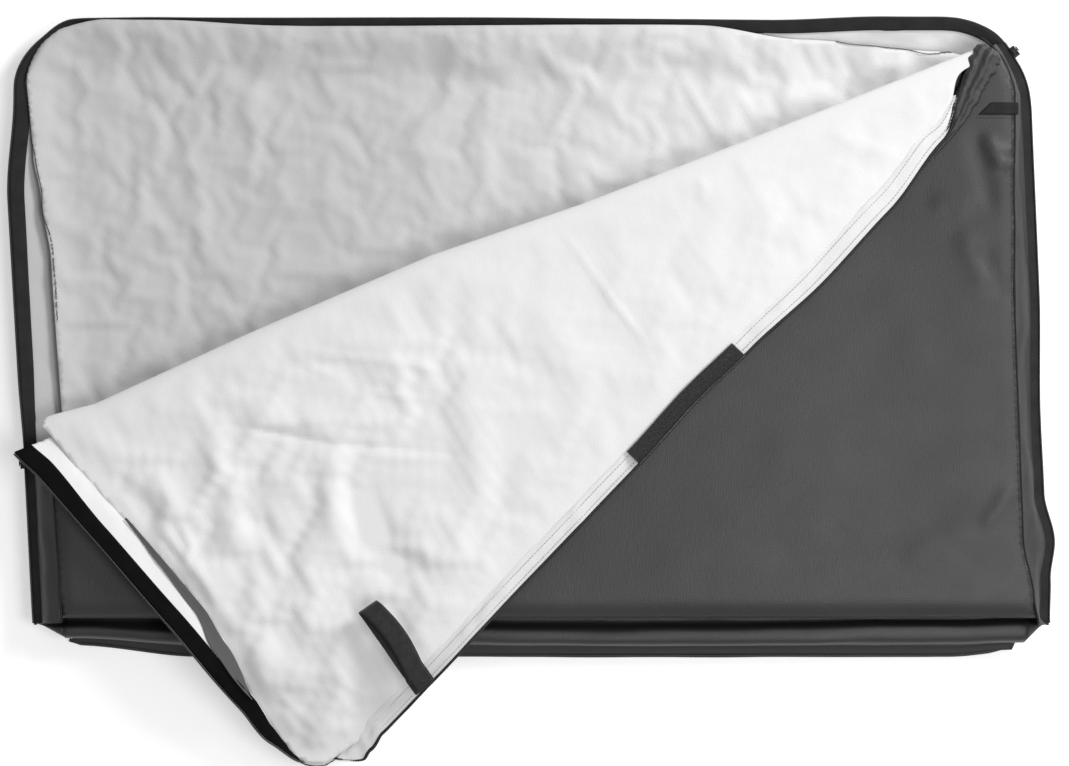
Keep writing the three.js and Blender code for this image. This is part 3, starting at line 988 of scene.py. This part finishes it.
def build_cover_wall(side, start, end):
    """The cover's side wall, its lining, zip tape and teeth, and the welt of its seam."""

    def outer(s):
        seam = seam_inset(s)
        foot = np.minimum(10.5 * MM + ridge_slack(s), seam - 4 * MM)
        return controls(
            s, (seam - 0.5 * MM, COVER_TOP - 2.2 * MM), (0.85 * seam + 0.15 * foot, COVER_TOP - 3.4 * MM),
            (0.4 * seam + 0.6 * foot, 46 * MM), (foot + 1.5 * MM, 36 * MM), (foot, 33.2 * MM),
        )

    boxing = wall(f"cover_boxing_{side}_outer", CHARCOAL, start, end, outer, 14, 4 * MM,
                  ripple=crumple(2.4 * MM, 15, 30))
    nodes = {"left": ["cover_boxing_left"], "right": ["cover_boxing_right", "cover_boxing_corner_right"]}
    fit_out(thick(boxing, FABRIC, 1), "cover", "outer_fabric", *nodes[side])

    def inner(s):
        return controls(
            s, (SEAM_INSET + 5 * MM, 50 * MM), (29 * MM, 40 * MM), (18 * MM + ridge_slack(s), 33 * MM),
        )

    ends = {"right": (start, constant(RIDGE_LENGTH - 16 * MM)), "left": (constant(16 * MM), end)}[side]
    white = wall(f"cover_boxing_{side}_lining", WHITE, *ends, inner, 7, 6 * MM)
    fit_out(thick(white, LINING), "cover", "lining_fabric")

    def tape(s):
        slack = ridge_slack(s)
        return controls(
            s, (12.5 * MM + slack, 33.9 * MM), (7 * MM + slack, 31.8 * MM), (0.6 * MM + slack, 29.9 * MM),
        )

    band = wall(f"cover_zip_band_{side}", TAPE, start, end, tape, 6)
    fit_out(thick(band, TAPING, 1), "cover", "zip_tape", f"cover_zip_tape_{side}")
    s = np.arange(start(0), end(0), COIL_STEP)
    line = raised(on_ridge(s, ridge_slack(s) + COIL_INSET), COVER_COIL_Z)
    fit_out(zip_coil(f"cover_zip_coil_{side}", line), "cover", "zip_coil", f"cover_zip_teeth_{side}")
    s = np.arange(start(SEAM_INSET), end(SEAM_INSET), 5 * MM)
    seam = raised(on_ridge(s, seam_inset(s)), COVER_TOP - 2.6 * MM)
    fit_out(tube(f"cover_seam_welt_{side}", TAPE, seam, 1.2 * MM), "cover")


def gusset_profile():
    """The gusset's section, as (y, z): down from the hem into a crease, up to a flat, then down."""
    past_hem = [
        (1.5, 47), (5, 41), (7, 30), (2.5, 17.5), (-8.5, 16.5), (-14.5, 29), (-19, 36.5), (-28, 36),
        (-32.5, 29), (-33.5, 16), (-35, 7),
    ]
    upper = np.array(past_hem) * MM + (HEM_Y, 0)
    return np.vstack([upper, (FLOOR_SEAM_Y - 2.4 * MM, 3.4 * MM)])


def gusset_span():
    """The x of the two ends of the seam on the floor."""
    return low("bottom_gusset")[0] + 4 * MM, high("bottom_gusset")[0] - 4 * MM


def gusset_rise(x):
    """How far the seam on the floor is drawn up at its two ends."""
    left, right = gusset_span()
    return 14 * MM * (1 - ease((x - left) / 0.15)) + 6 * MM * (1 - ease((right - x) / 0.07))


def build_gusset():
    rows, columns = 200, 40
    section = smooth_curve(gusset_profile(), columns)
    t = np.linspace(0, 1, columns)[None, :]
    ends = np.array([0.0, RIDGE_LENGTH])
    hem_left, hem_right = on_ridge(ends, seam_inset(ends))[:, 0]
    floor_left, floor_right = gusset_span()
    body = np.sin(np.pi * t)
    swell = 5 * MM * body
    left = hem_left + (floor_left - hem_left) * t - swell
    right = hem_right + (floor_right - hem_right) * t + swell
    x = left + np.linspace(0, 1, rows)[:, None] * (right - left)
    flat_middle = np.exp(-(((t - 0.48) / 0.12) ** 2))
    narrow = 6 * MM * ease((x - 0.05) / 0.4) * flat_middle
    y = section[:, 0] + gusset_rise(x) * t**2 + narrow + 1.4 * MM * layered(x * 7, t * 2, 41) * body
    z = section[:, 1] + 2.5 * MM * layered(x * 5, t * 2 + 4, 45) * body
    points = np.stack([x, y, z], axis=-1)
    gusset = grid_object("gusset_sheet", points, CHARCOAL)
    fit_out(thick(gusset, FABRIC, 1), None, "outer_fabric", "bottom_gusset")
    open_with_cover(gusset)
    build_gusset_end("left", points[0], 0.0)
    build_gusset_end("right", points[-1], RIDGE_LENGTH)


def open_with_cover(piece):
    """Bakes a piece's transform into its mesh."""
    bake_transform(piece)


def build_gusset_end(side, edge, s_end):
    """A ruled sheet from the gusset's end to the side wall's open end."""
    s = np.full(len(edge), s_end)
    seam = float(seam_inset(s)[0])
    slack = float(ridge_slack(s)[0])
    section = smooth_curve([
        (seam, COVER_TOP - 3 * MM), (0.6 * seam, 46 * MM), (9 * MM + slack, 35 * MM),
        (2 * MM + slack, RIDGE_Z), (9 * MM + slack, 22 * MM), (22 * MM, 12 * MM), (36 * MM, 3 * MM),
    ], len(edge))
    far = raised(on_ridge(s, section[:, 0]), section[:, 1])
    f = np.linspace(0, 1, 10)[:, None, None]
    points = edge[None] * (1 - f) + far[None] * f
    points[..., 1] -= np.sin(np.pi * f[..., 0]) * 1.5 * MM
    end = grid_object(f"gusset_end_{side}_sheet", points, CHARCOAL)
    fit_out(thick(end, FABRIC), None, "outer_fabric", f"gusset_end_{side}")
    open_with_cover(end)


# ---------------------------------------------------------------- flap

def flap_splay(s):
    """How far the flap's soft edge stands out past the frame's ridge."""
    return over_mm(
        s,
        (S_FOLD_LEFT, (0, 3)),
        (S_CORNER_LEFT, (-450, 0), (-360, 1), (-230, 3), (-100, 7.5), (-50, 13), (-10, 22), (10, 22.5),
         (30, 28), (40, 27), (50, 21), (70, 14), (150, 13), (300, 10.5), (500, 9.5), (590, 6.5), (680, 9.5),
         (790, 16), (900, 13), (1000, 1), (1080, -34)),
        (S_FOLD_RIGHT, (0, -20)),
    )


def tip_droop(points):
    """The tip hangs a little where nothing is under it. points are at rest."""
    past = np.clip(FLOOR_SEAM_Y + 10 * MM - points[:, 1], 0, None)
    return -22 * MM * ease(past / (130 * MM))


def flap_base(points):
    """Height of the flap's outer cloth at rest, over plan points at rest."""
    x, y = points.T
    return COVER_TOP + 2.6 * MM + 0.8 * MM * noise(x * 3.4, y * 3.4, 62)


ROLL_START = -46 * MM
ROLL_LENGTH = 150 * MM


def roll_reach(t):
    """How far the rolled fold bulges past the fold line, at distance t along it."""
    return np.interp(
        t, (0.0, 0.05, 0.1, 0.3, 0.52, 0.70, 0.9, 1.2),
        np.array((26, 24, 17, 24, 26, 14, 9, 4)) * MM,
    )


def flap_outline(inset, beyond):
    """The flap's plan at rest, with a strip past the fold line to be rolled under."""
    end_inset = 30 * MM
    s = np.linspace(crossing(end_inset, "left"), crossing(end_inset, "right"), 500)
    plan = folded(raised(on_ridge(s, inset(s) - flap_splay(s)), 0))[:, :2]
    first, last = plan[0], plan[-1]
    back = last + (first - last) * np.linspace(0, 1, 60)[1:-1, None]
    back = back + (beyond - across_fold(back))[:, None] * FOLD_ACROSS
    return np.vstack([plan, back])


def lining_inset(s):
    """Inset of the seam between the flap's lining and its boxing, from the soft edge."""
    return over_mm(
        s,
        (S_FOLD_LEFT, (0, 37)),
        (S_CORNER_LEFT, (-280, 39), (-220, 38), (-165, 31), (-100, 18), (-80, 17), (-60, 14), (-40, 7.5),
         (-30, 3), (-20, 1), (3, 1.5), (12, 6), (22, 15), (32, 21), (60, 20), (150, 19), (300, 19),
         (650, 20), (850, 25), (980, 22), (1060, 6)),
        (S_FOLD_RIGHT, (0, 5)),
    )


def flap_lining_relief(points):
    """The lining's folds over the flat height where it would lie taut."""
    x, y = points.T
    outline = flap_outline(lambda s: lining_inset(s) + 2 * MM, 30 * MM)
    lift = settled(outline, 15 * MM, grow=0.016, stiff=8, frames=36, seed=5)
    calm = 0.35 + 0.65 * ease((0.05 - x) / 0.25)
    loose = (lift(points) - 2 * MM) * calm
    drape = 1.1 * MM * layered(x * 6 + 1.5 * noise(x * 2, y * 2, 7), y * 6, 81, 2)
    crease = ridged(x * 11 + y * 5, y * 13 - x * 4, 92) ** 4
    fine = 0.5 * MM * crease + 0.25 * MM * layered(x * 40, y * 40, 97, 2)
    return np.maximum(4.5 * MM + loose + drape + fine + fold_lines(points, FLAP_FOLDS), 0.4 * MM)


FLAP_FOLDS = [
    # path in mm, width, height
    ([(-353, -110), (-345, -180), (-333, -262)], 17, 7),
    ([(-318, -135), (-308, -190), (-304, -262)], 15, -4),
    ([(-228, -120), (-224, -180), (-212, -240)], 18, 7),
    ([(-206, -150), (-176, -239), (-116, -295)], 22, -8),
    ([(-130, -190), (-120, -240), (-60, -290)], 26, 5),
    ([(-478, -160), (-440, -198), (-415, -225)], 11, -5),
    ([(-450, -140), (-415, -180), (-395, -225)], 16, 4),
    ([(-392, -95), (-304, -109), (-225, -124), (-60, -137)], 4, -3),
    ([(-330, -88), (-260, -98), (-215, -112)], 15, 4),
    ([(-304, -104), (-250, -97), (-198, -89)], 4, 2.5),
    ([(-272, -15), (-200, -26), (-137, -32), (-75, -48)], 5, 2.6),
    ([(-270, -24), (-240, -40), (-213, -50)], 4, 2.2),
    ([(-200, -62), (-130, -72), (-90, -70)], 4, 1.6),
    ([(-428, -215), (-419, -232), (-378, -284), (-357, -326)], 5, -4.5),
    ([(-400, -210), (-385, -240), (-396, -262)], 5, 3),
    ([(-400, -250), (-372, -290), (-345, -325)], 11, 5),
    ([(-330, -330), (-290, -380), (-240, -400)], 18, 4),
    ([(-292, -400), (-266, -430), (-243, -454)], 5, 2),
    ([(26, 134), (69, 75), (100, 32), (140, -18)], 3, 2),
    ([(-14, 60), (40, -10), (70, -60)], 26, 3),
    ([(150, 170), (230, 160), (300, 120)], 24, 2.5),
    ([(190, 185), (200, 165), (188, 150)], 5, 2.2),
    ([(330, 235), (380, 215), (430, 205)], 9, 2.5),
]


def roll_curve(reach, share):
    """Section of the rolled fold: (across, z) for a share 0 on the flap to 1 under the cover."""
    top = FOLD_Z + 5.5 * MM
    control = controls(
        reach, (ROLL_START, top), (-20 * MM, top + 3.5 * MM), (reach - 14 * MM, top + 3.8 * MM),
        (reach - 3 * MM, top - 0.5 * MM), (reach, FOLD_Z - 0.5 * MM), (reach - 4 * MM, FOLD_Z - 5.5 * MM),
        (reach - 18 * MM, FOLD_Z - 7.5 * MM), (-30 * MM, FOLD_Z - 6.5 * MM),
    )
    last = control.shape[-2] - 1
    t = np.clip(share, 0, 1) * last
    i = np.minimum(t.astype(int), last - 1)
    row = np.arange(len(share))
    return catmull_rom(lambda j: control[row, np.clip(j, 0, last)], i, (t - i)[:, None])


def turn_with_fold(piece):
    """Bakes a piece's transform into its mesh."""
    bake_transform(piece)


def build_flap_lining():
    points, faces, edge = region(flap_outline(lining_inset, ROLL_START + ROLL_LENGTH), 5 * MM)
    across = across_fold(points)
    along = along_fold(points)
    flat = across <= ROLL_START
    share = (across - ROLL_START) / ROLL_LENGTH
    section = roll_curve(roll_reach(along), share)
    reach = np.where(flat, across, section[:, 0])
    place = FOLD_POINT[:2] + along[:, None] * FOLD_ALONG + reach[:, None] * FOLD_ACROSS
    relief = flap_lining_relief(place)
    sewn_edge = edge[: -int(len(edge) * 0.45)]
    near_edge = ease(edge_distance(points, sewn_edge) / (30 * MM))
    z_flat = flap_base(points) + 2.2 * MM + relief * (0.25 + 0.75 * near_edge) + tip_droop(points)
    loose = 0.6 * (relief - 4.5 * MM)
    z_roll = section[:, 1] + loose * (1 - ease((share - 0.12) / 0.25))
    blend_in = ease((across - (ROLL_START - 60 * MM)) / (60 * MM))
    z_flat = z_flat * (1 - blend_in) + (FOLD_Z + 5.5 * MM + loose) * blend_in
    lining = new_object("flap_lining_sheet", raised(place, np.where(flat, z_flat, z_roll)), faces, WHITE)
    fit_out(thick(lining, LOOSE_LINING), None, "lining_fabric", "flap_lining")
    turn_with_fold(lining)


def build_flap():
    build_flap_lining()
    build_flap_outer()
    build_flap_walls()
    build_loop()
    build_corner_bunch()


def build_flap_outer():
    outline = flap_outline(lambda s: SEAM_INSET + 0 * s, -2 * MM)
    points, faces, edge = region(outline[across_fold(outline) < -1 * MM], 9 * MM)
    surface = raised(points, flap_base(points) + tip_droop(points))
    outer = new_object("flap_outer_panel", surface, faces, CHARCOAL)
    fit_out(thick(outer, FABRIC), "flap", "outer_fabric", "flap_shell")


def rest_of_flap(points):
    """Points of the shut flap, where they lie at rest."""
    rest = folded(points)
    rest[:, 2] += tip_droop(rest)
    return rest


def edge_rise(s):
    """How far the flap's soft edge stands up from its lining: less along its long side."""
    far = ease((s - S_CORNER_LEFT - 0.2) / 0.15)
    return np.minimum(0.45 * lining_inset(s), 13 * MM) * (1 - 0.55 * far)


def flap_rim(s, low_by=0.0):
    """The flap's boxing as it lies when shut: control points from its seam out to the zip."""
    splay = flap_splay(s)
    seam = lining_inset(s)
    rim = flap_band(s) + 4 * MM * tip_hide(s) ** 2
    rise = edge_rise(s)
    seam_z = COVER_TOP - 5.5 * MM + 5 * MM * tip_hide(s, 95)
    return controls(
        s, (seam + 5 * MM - splay, seam_z + low_by + 1 * MM), (seam - splay, seam_z - 1 * MM + low_by),
        (0.5 * (seam + rim) - splay, seam_z - 0.6 * rise + low_by), (rim - splay, seam_z - rise + low_by),
    )


def build_flap_walls():
    start = at_fold("left")
    bunch_length = 62 * MM
    end = lambda inset: crossing(inset, "right") - bunch_length
    crumpled = crumple(2.2 * MM, 22, 50)
    boxing = wall("flap_boxing_inner", WHITE, start, end, flap_rim, 14, 3.5 * MM, rest_of_flap, crumpled)
    fit_out(thick(boxing, LINING), "flap", "lining_fabric")

    def black(s):
        under = flap_rim(s, 2.6 * MM)
        under[..., 0, 0] = np.maximum(SEAM_INSET - flap_splay(s), under[..., 0, 0])
        under[..., 0, 1] = COVER_TOP - 0.5 * MM
        return under

    outside = wall("flap_boxing_outer", CHARCOAL, start, end, black, 12, 5 * MM, rest_of_flap, crumpled)
    fit_out(thick(outside, FABRIC), "flap", "outer_fabric", "flap_boxing_left", "flap_boxing_corner_left",
            "flap_boxing_top", "flap_boxing_corner_right")

    def tape(s):
        band = flap_band(s)
        hide = tip_hide(s)
        splay = flap_splay(s) - 7 * MM * hide**2
        top = COVER_TOP - 5.5 * MM - edge_rise(s) + 10 * MM * hide
        return controls(
            s, (band + 1.5 * MM - splay, top + 0.2 * MM), (0.5 * band - splay, top - 1.4 * MM),
            (0.4 * MM - splay, top - 2.4 * MM),
        )

    # The flap's band uses the tape painted darker for painted shade.
    band = wall("flap_zip_band", SHADED_FLAP_TAPE, start, end, tape, 7, 4 * MM, rest_of_flap,
                crumple(0.6 * MM, 20, 58))
    fit_out(thick(band, TAPING), "flap", "zip_tape", "flap_zip_tape")
    s = np.arange(start(0), end(0), COIL_STEP)
    tucked = 1.6 * MM * ease((s - S_CORNER_LEFT) / 0.1) - 1.0 * MM
    inset, z = (tape(s)[:, -1] + tucked[:, None]).T
    fit_out(zip_coil("flap_zip_coil", rest_of_flap(raised(on_ridge(s, inset), z))), "flap", "zip_coil",
            "flap_zip_teeth")
    s = np.arange(S_CORNER_LEFT + 0.07, end(0) - 0.03, 2 * MM)
    seam, rim = flap_rim(s)[:, 1], flap_rim(s)[:, 3]
    for name, share in (("flap_edge_stitch_outer", 0.3), ("flap_edge_stitch_inner", 0.85)):
        inset, z = (rim + (seam - rim) * share).T
        line = rest_of_flap(raised(on_ridge(s, inset), z - 1.2 * MM))
        fit_out(stitches(name, WHITE_THREAD, line, LONG_STITCH), "flap")
    build_tuck()
    build_hook_strip()


def tip_hide(s, lead=0):
    """1 where the edge is turned under at the flap's tip, else 0. lead, in mm, starts it sooner."""
    left = S_CORNER_LEFT
    start = left - lead * MM
    return over(s, (start - 0.025, 0), (start - 0.005, 1), (left + 0.025, 1), (left + 0.05, 0),
                (RIDGE_LENGTH, 0))


def build_tuck():
    """The fold of the boxing that shows between its white strip and the lining: lining painted dark grey, a
    painted shade in the fold.
    """
    left = S_CORNER_LEFT

    def section(s):
        splay = flap_splay(s)
        seam = lining_inset(s)
        rim = flap_band(s)
        wide = over_mm(s, (left, (-350, 24), (-290, 19), (-220, 14), (-170, 2.5), (-120, -1), (-50, -1)))
        outer = np.minimum(rim + wide, seam + 3 * MM)
        lap = over_mm(s, (left, (-300, 4), (-130, 4), (-100, 0.5)))
        rise = edge_rise(s)

        def place(inset):
            up = rise * np.clip((seam - inset) / (seam - rim), 0, 1)
            return inset - splay, COVER_TOP - 9 * MM - up

        return controls(s, place(seam + lap), place(0.5 * (seam + outer)), place(outer))

    tuck = wall("flap_boxing_tuck", SHADED_FOLD_LINING, constant(left - 0.35), constant(left - 0.1), section, 8,
                3 * MM, rest_of_flap, crumple(1.2 * MM, 30, 61))
    fit_out(thick(tuck, LINING), "flap", "lining_fabric")


def build_hook_strip():
    start, end = strip_span()

    def section(s):
        splay = flap_splay(s)
        z = COVER_TOP - 7.5 * MM - edge_rise(s)
        return controls(
            s, (21.5 * MM - splay, z + 2.4 * MM), (15 * MM - splay, z), (8 * MM - splay, z - 2.2 * MM),
            (1.5 * MM - splay, z - 4 * MM),
        )

    strip = wall("hook_tape", HOOK, constant(start), constant(end), section, 10, 2.5 * MM, rest_of_flap,
                 crumple(0.5 * MM, 25, 63))
    fit_out(thick(strip, 1.7 * MM), "flap", "hook_and_loop", "hook_strip")
    s = np.arange(start + 2 * MM, end - 2 * MM, 2 * MM)
    for name, column, shift in (("outer", -1, 1.6 * MM), ("inner", 0, -1.6 * MM)):
        inset, z = section(s)[:, column].T
        line = rest_of_flap(raised(on_ridge(s, inset + shift), z - 1.6 * MM))
        row = stitches(f"hook_tape_stitch_{name}", DARK_THREAD, line, FINE_STITCH)
        fit_out(row, "flap")


def flap_band(s):
    """Width of the black tape that shows along the flap's edge."""
    return over_mm(
        s,
        (S_FOLD_LEFT, (0, 19)),
        (S_CORNER_LEFT, (-450, 20), (-360, 17), (-100, 18), (-80, 16.5), (-60, 14), (-40, 8), (-30, 3.5),
         (-20, 1.2)),
        (S_CORNER_RIGHT, (0, 1.2)),
    )


# ---------------------------------------------------------------- loop, sliders and small parts

def build_loop():
    hinge = joint("loop_hinge")
    base = np.array(hinge["pos_m"])
    heading = np.cross(unit(np.array(hinge["axis"])), UP)
    heading = unit(heading * (1, 1, 0) * (1 if heading[1] > 0 else -1))
    across = np.array([-heading[1], heading[0], 0])
    # The strap's side view, in millimetres: out along the bottom, round the end and back on top
    sewn, reach, rise = 24, 85, 11
    control = np.array([
        (-sewn, -1.5), (-0.6 * sewn, -2.2), (-0.2 * sewn, -1.5), (0.3 * reach, 0.8), (0.8 * reach, 1.0),
        (0.98 * reach, 2.2), (1.02 * reach, 0.5 * rise), (0.97 * reach, rise), (0.8 * reach, rise + 1.5),
        (0.35 * reach, 9.0), (-0.1 * sewn, 3.0), (-0.45 * sewn, 0.0), (-sewn, 0.2),
    ])
    steps = 120
    out, up = smooth_curve(control * MM, steps).T[..., None]
    bow = 5 * MM * np.sin(np.pi * np.clip(out / (reach * MM), 0, 1)) * ease(up / (6 * MM))
    turn = 4 * MM * ease((np.linspace(0, 1, steps)[:, None] - 0.42) / 0.2)
    path = base + out * heading + up * UP - (bow + turn) * across
    width = 23.5 * MM
    side = np.linspace(-0.5, 0.5, 7)[None, :, None] * width
    loop = grid_object("webbing_loop_strap", path[:, None] + side * across, WEBBING)
    fit_out(thick(loop, 1.3 * MM), None, "webbing", "webbing_loop")
    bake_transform(loop)
    # The box stitch, in millimetres
    near, far, wide = 0.55 * sewn, 0.95 * sewn, 9.24
    box = [(-far, -wide), (-near, -wide), (-near, wide), (-far, wide), (-far, -wide), (-near, wide)]
    box = (np.array(box) - (0, 4)) * MM
    corner = base + box[:, :1] * heading + box[:, 1:] * across + 1.0 * MM * UP
    fit_out(stitches("loop_box_stitch", BLACK_THREAD, corner, BOX_STITCH), "flap")
    patch_size = (20 * MM, 25 * MM)
    corners = np.array([(-0.5, -0.5), (0.5, -0.5), (0.5, 0.5), (-0.5, 0.5)]) * patch_size
    pad, faces, _ = region(corners, 4 * MM)
    middle = base - 0.72 * sewn * MM * heading - 3.4 * MM * UP
    flat = middle + pad[:, :1] * heading + pad[:, 1:] * across
    patch = new_object("loop_anchor_patch", flat, faces, WEBBING)
    fit_out(thick(patch, 1.4 * MM), "flap", "webbing", "loop_anchor")


def bevelled(obj, radius, segments):
    bevel = obj.modifiers.new("bevel", "BEVEL")
    bevel.width = radius
    bevel.segments = segments
    bevel.limit_method = "ANGLE"
    return obj


def blocks(name, parts, along, outward, radius):
    """One metal piece of boxes with rounded edges, each a centre and its size out, along and up."""
    signs = np.array([(i, j, k) for i in (-1, 1) for j in (-1, 1) for k in (-1, 1)])
    box = [(0, 1, 3, 2), (4, 6, 7, 5), (0, 4, 5, 1), (2, 3, 7, 6), (0, 2, 6, 4), (1, 5, 7, 3)]
    axes = np.array([outward, along, UP])
    verts = [centre + (signs * np.array(size) * MM / 2) @ axes for centre, size in parts]
    faces = [tuple(i + 8 * n for i in face) for n in range(len(parts)) for face in box]
    return bevelled(new_object(name, np.vstack(verts), faces, METAL), radius, 3)


def ridge_axes(s):
    """Unit vectors outward from the ridge and along it."""
    outward = np.append(interpolated(s, RIDGE_S, RIDGE_N), 0)
    return outward, np.array([-outward[1], outward[0], 0])


def build_slider(side):
    centre = node_centre(f"zip_slider_{side}")
    s = ridge_s_near(centre[0], centre[1])
    outward, along = ridge_axes(s)
    rim = np.append(on_ridge(s, 0.0), centre[2]) - 1.5 * MM * outward
    plates = [(rim + 2 * MM * outward + 3.9 * MM * up, (6, 13, 1.4)) for up in (UP, -UP)]
    core = (rim + 3.7 * MM * outward, (2.4, 7, 7.8))
    lugs = [(rim + 5.6 * MM * outward + 2.2 * MM * up, (1.8, 2.2, 1.2)) for up in (UP, -UP)]
    body = blocks(f"slider_body_{side}", [*plates, core, *lugs], along, outward, 0.5 * MM)
    fit_out(body, f"{side}_slider", "zip_metal", f"zip_slider_{side}")
    pull = build_pull(side, np.array(joint(f"{side}_pull_hinge")["pos_m"]), outward, along)
    fit_out(pull, f"{side}_pull", "zip_metal", f"zip_pull_{side}")


def build_pull(side, root, outward, along):
    """A flat tab with a slot at its root and a round end."""
    droop = math.radians(82)
    down = outward * math.cos(droop) - UP * math.sin(droop)
    angle = np.linspace(0, 2 * np.pi, 40, endpoint=False)
    cos, sin = np.cos(angle), np.sin(angle)
    middle, half_length, half_width = 5.7, 6.3, 3.2
    square_sin = np.sign(sin) * np.abs(sin) ** 0.6
    outer = np.stack([middle + half_length * cos, half_width * square_sin], 1) * MM
    hole_middle, hole_radius = 2.6, 1.7
    inner = np.stack([hole_middle + hole_radius * cos, hole_radius * sin], 1) * MM
    rings = np.stack([outer, 0.35 * outer + 0.65 * inner, inner])
    points = root + rings[..., :1] * down + rings[..., 1:] * along
    pull = grid_object(f"slider_pull_{side}", points, METAL, closed=True)
    return bevelled(thick(pull, 1.3 * MM), 0.35 * MM, 2)


def build_hardware():
    for side, s in (("left", 0.0), ("right", RIDGE_LENGTH)):
        build_slider(side)
        outward, along = ridge_axes(s)
        slack = float(ridge_slack(np.array([s]))[0])
        centre = node_centre(f"zip_stop_{side}") - outward * slack + (0, 2.2 * MM, 0)
        parts = [
            (centre + 0.9 * MM * UP, (3.4, 3.6, 1.1)), (centre - 0.9 * MM * UP, (3.4, 3.6, 1.1)),
            (centre + 1.1 * MM * outward, (1.1, 3.6, 2.4)),
        ]
        stop = blocks(f"end_stop_{side}", parts, along, outward, 0.35 * MM)
        fit_out(stop, "back", "zip_metal", f"zip_stop_{side}")


def build_corner_bunch():
    """The flap's black boxing, gathered where the fold meets the right corner."""
    end = float(along_fold(on_ridge(S_FOLD_RIGHT, 0.0)))
    control = np.array([
        (-22, -2), (-35, -11.5), (-52, -26), (-68, -41), (-84, -56), (-101, -70), (-122, -83), (-150, -97),
    ]) * MM + (end, 0)
    rows = 150
    line = smooth_curve(control, rows)
    t = np.linspace(0, 1, rows)[:, None]
    u = np.linspace(-1, 1, 21)
    half = MM * np.interp(t, (0, 0.06, 0.14, 0.28, 0.42, 0.57, 0.7, 0.85, 1),
                          (9, 15, 17, 16, 13.5, 10.5, 7, 4, 1.5))
    along = unit(np.gradient(line, axis=0))
    side = np.stack([-along[:, 1], along[:, 0]], axis=1)
    ragged = half * (1 + 0.1 * layered(t * 22, t * 0, 11))
    grid = line[:, None] + (u * ragged)[..., None] * side[:, None]
    plan = FOLD_POINT[:2] + grid[..., :1] * FOLD_ALONG + grid[..., 1:] * FOLD_ACROSS
    arch = 0.4 * half * np.sqrt(np.clip(1 - u**2, 0, 1))
    pleats = 0.7 * MM * np.sin(u * 8 + 2.4 * noise(t * 3, t * 0, 4)) * half / (13 * MM)
    height = FOLD_Z + 5.0 * MM + arch + pleats + 0.7 * MM * layered(t * 9, u * 1.6, 19)
    bunch = grid_object("fold_corner_bunch", np.concatenate([plan, height[..., None]], axis=-1), CHARCOAL)
    fit_out(thick(bunch, 1.2 * MM), None, "outer_fabric")
    turn_with_fold(bunch)


# ---------------------------------------------------------------- stage, light and camera

def build_stage():
    m = Nodes("pale floor", grey(0.9), 0.9, Specular_IOR_Level=0.0)
    m.shader.inputs["Emission Color"].default_value = (1, 1, 1, 1)
    m.shader.inputs["Emission Strength"].default_value = 0.4
    floor = square("floor", 6.0, m.material)
    floor.location.z = -0.3 * MM


def area_light(name, place, target, size, power):
    """A round soft lamp that faces its target."""
    light = bpy.data.lights.new(name, "AREA")
    light.shape = "DISK"
    light.size = size
    light.energy = power
    obj = bpy.data.objects.new(name, light)
    obj.location = place
    obj.rotation_euler = (Vector(target) - Vector(place)).to_track_quat("-Z", "Y").to_euler()
    bpy.context.scene.collection.objects.link(obj)


def build_light():
    world = bpy.data.worlds.new("studio")
    bpy.context.scene.world = world
    world.use_nodes = True
    background = world.node_tree.nodes["Background"]
    background.inputs["Color"].default_value = (1, 1, 1, 1)
    background.inputs["Strength"].default_value = 0.37
    area_light("key", (3.0, 2.2, 2.5), (0, 0, 0), size=1.7, power=126)
    area_light("overhead", (1.0, -0.5, 2.6), (0.2, -0.2, 0), size=1.4, power=25)
    bpy.context.scene.view_settings.view_transform = "Standard"


def build_camera():
    """Looks straight down from far off, as the photo does."""
    camera = bpy.data.cameras.new("camera")
    camera.lens = 120
    camera.sensor_width = 36
    camera.clip_end = 50
    view_width = 1.2293
    view_centre = (0.0052, -0.054)
    distance = view_width * camera.lens / camera.sensor_width
    obj = bpy.data.objects.new("camera", camera)
    obj.location = (*view_centre, distance + COVER_TOP / 2)
    bpy.context.scene.collection.objects.link(obj)
    bpy.context.scene.camera = obj


build_camera()
build_stage()
build_light()
build_back()
build_cover()
build_flap()
build_hardware()
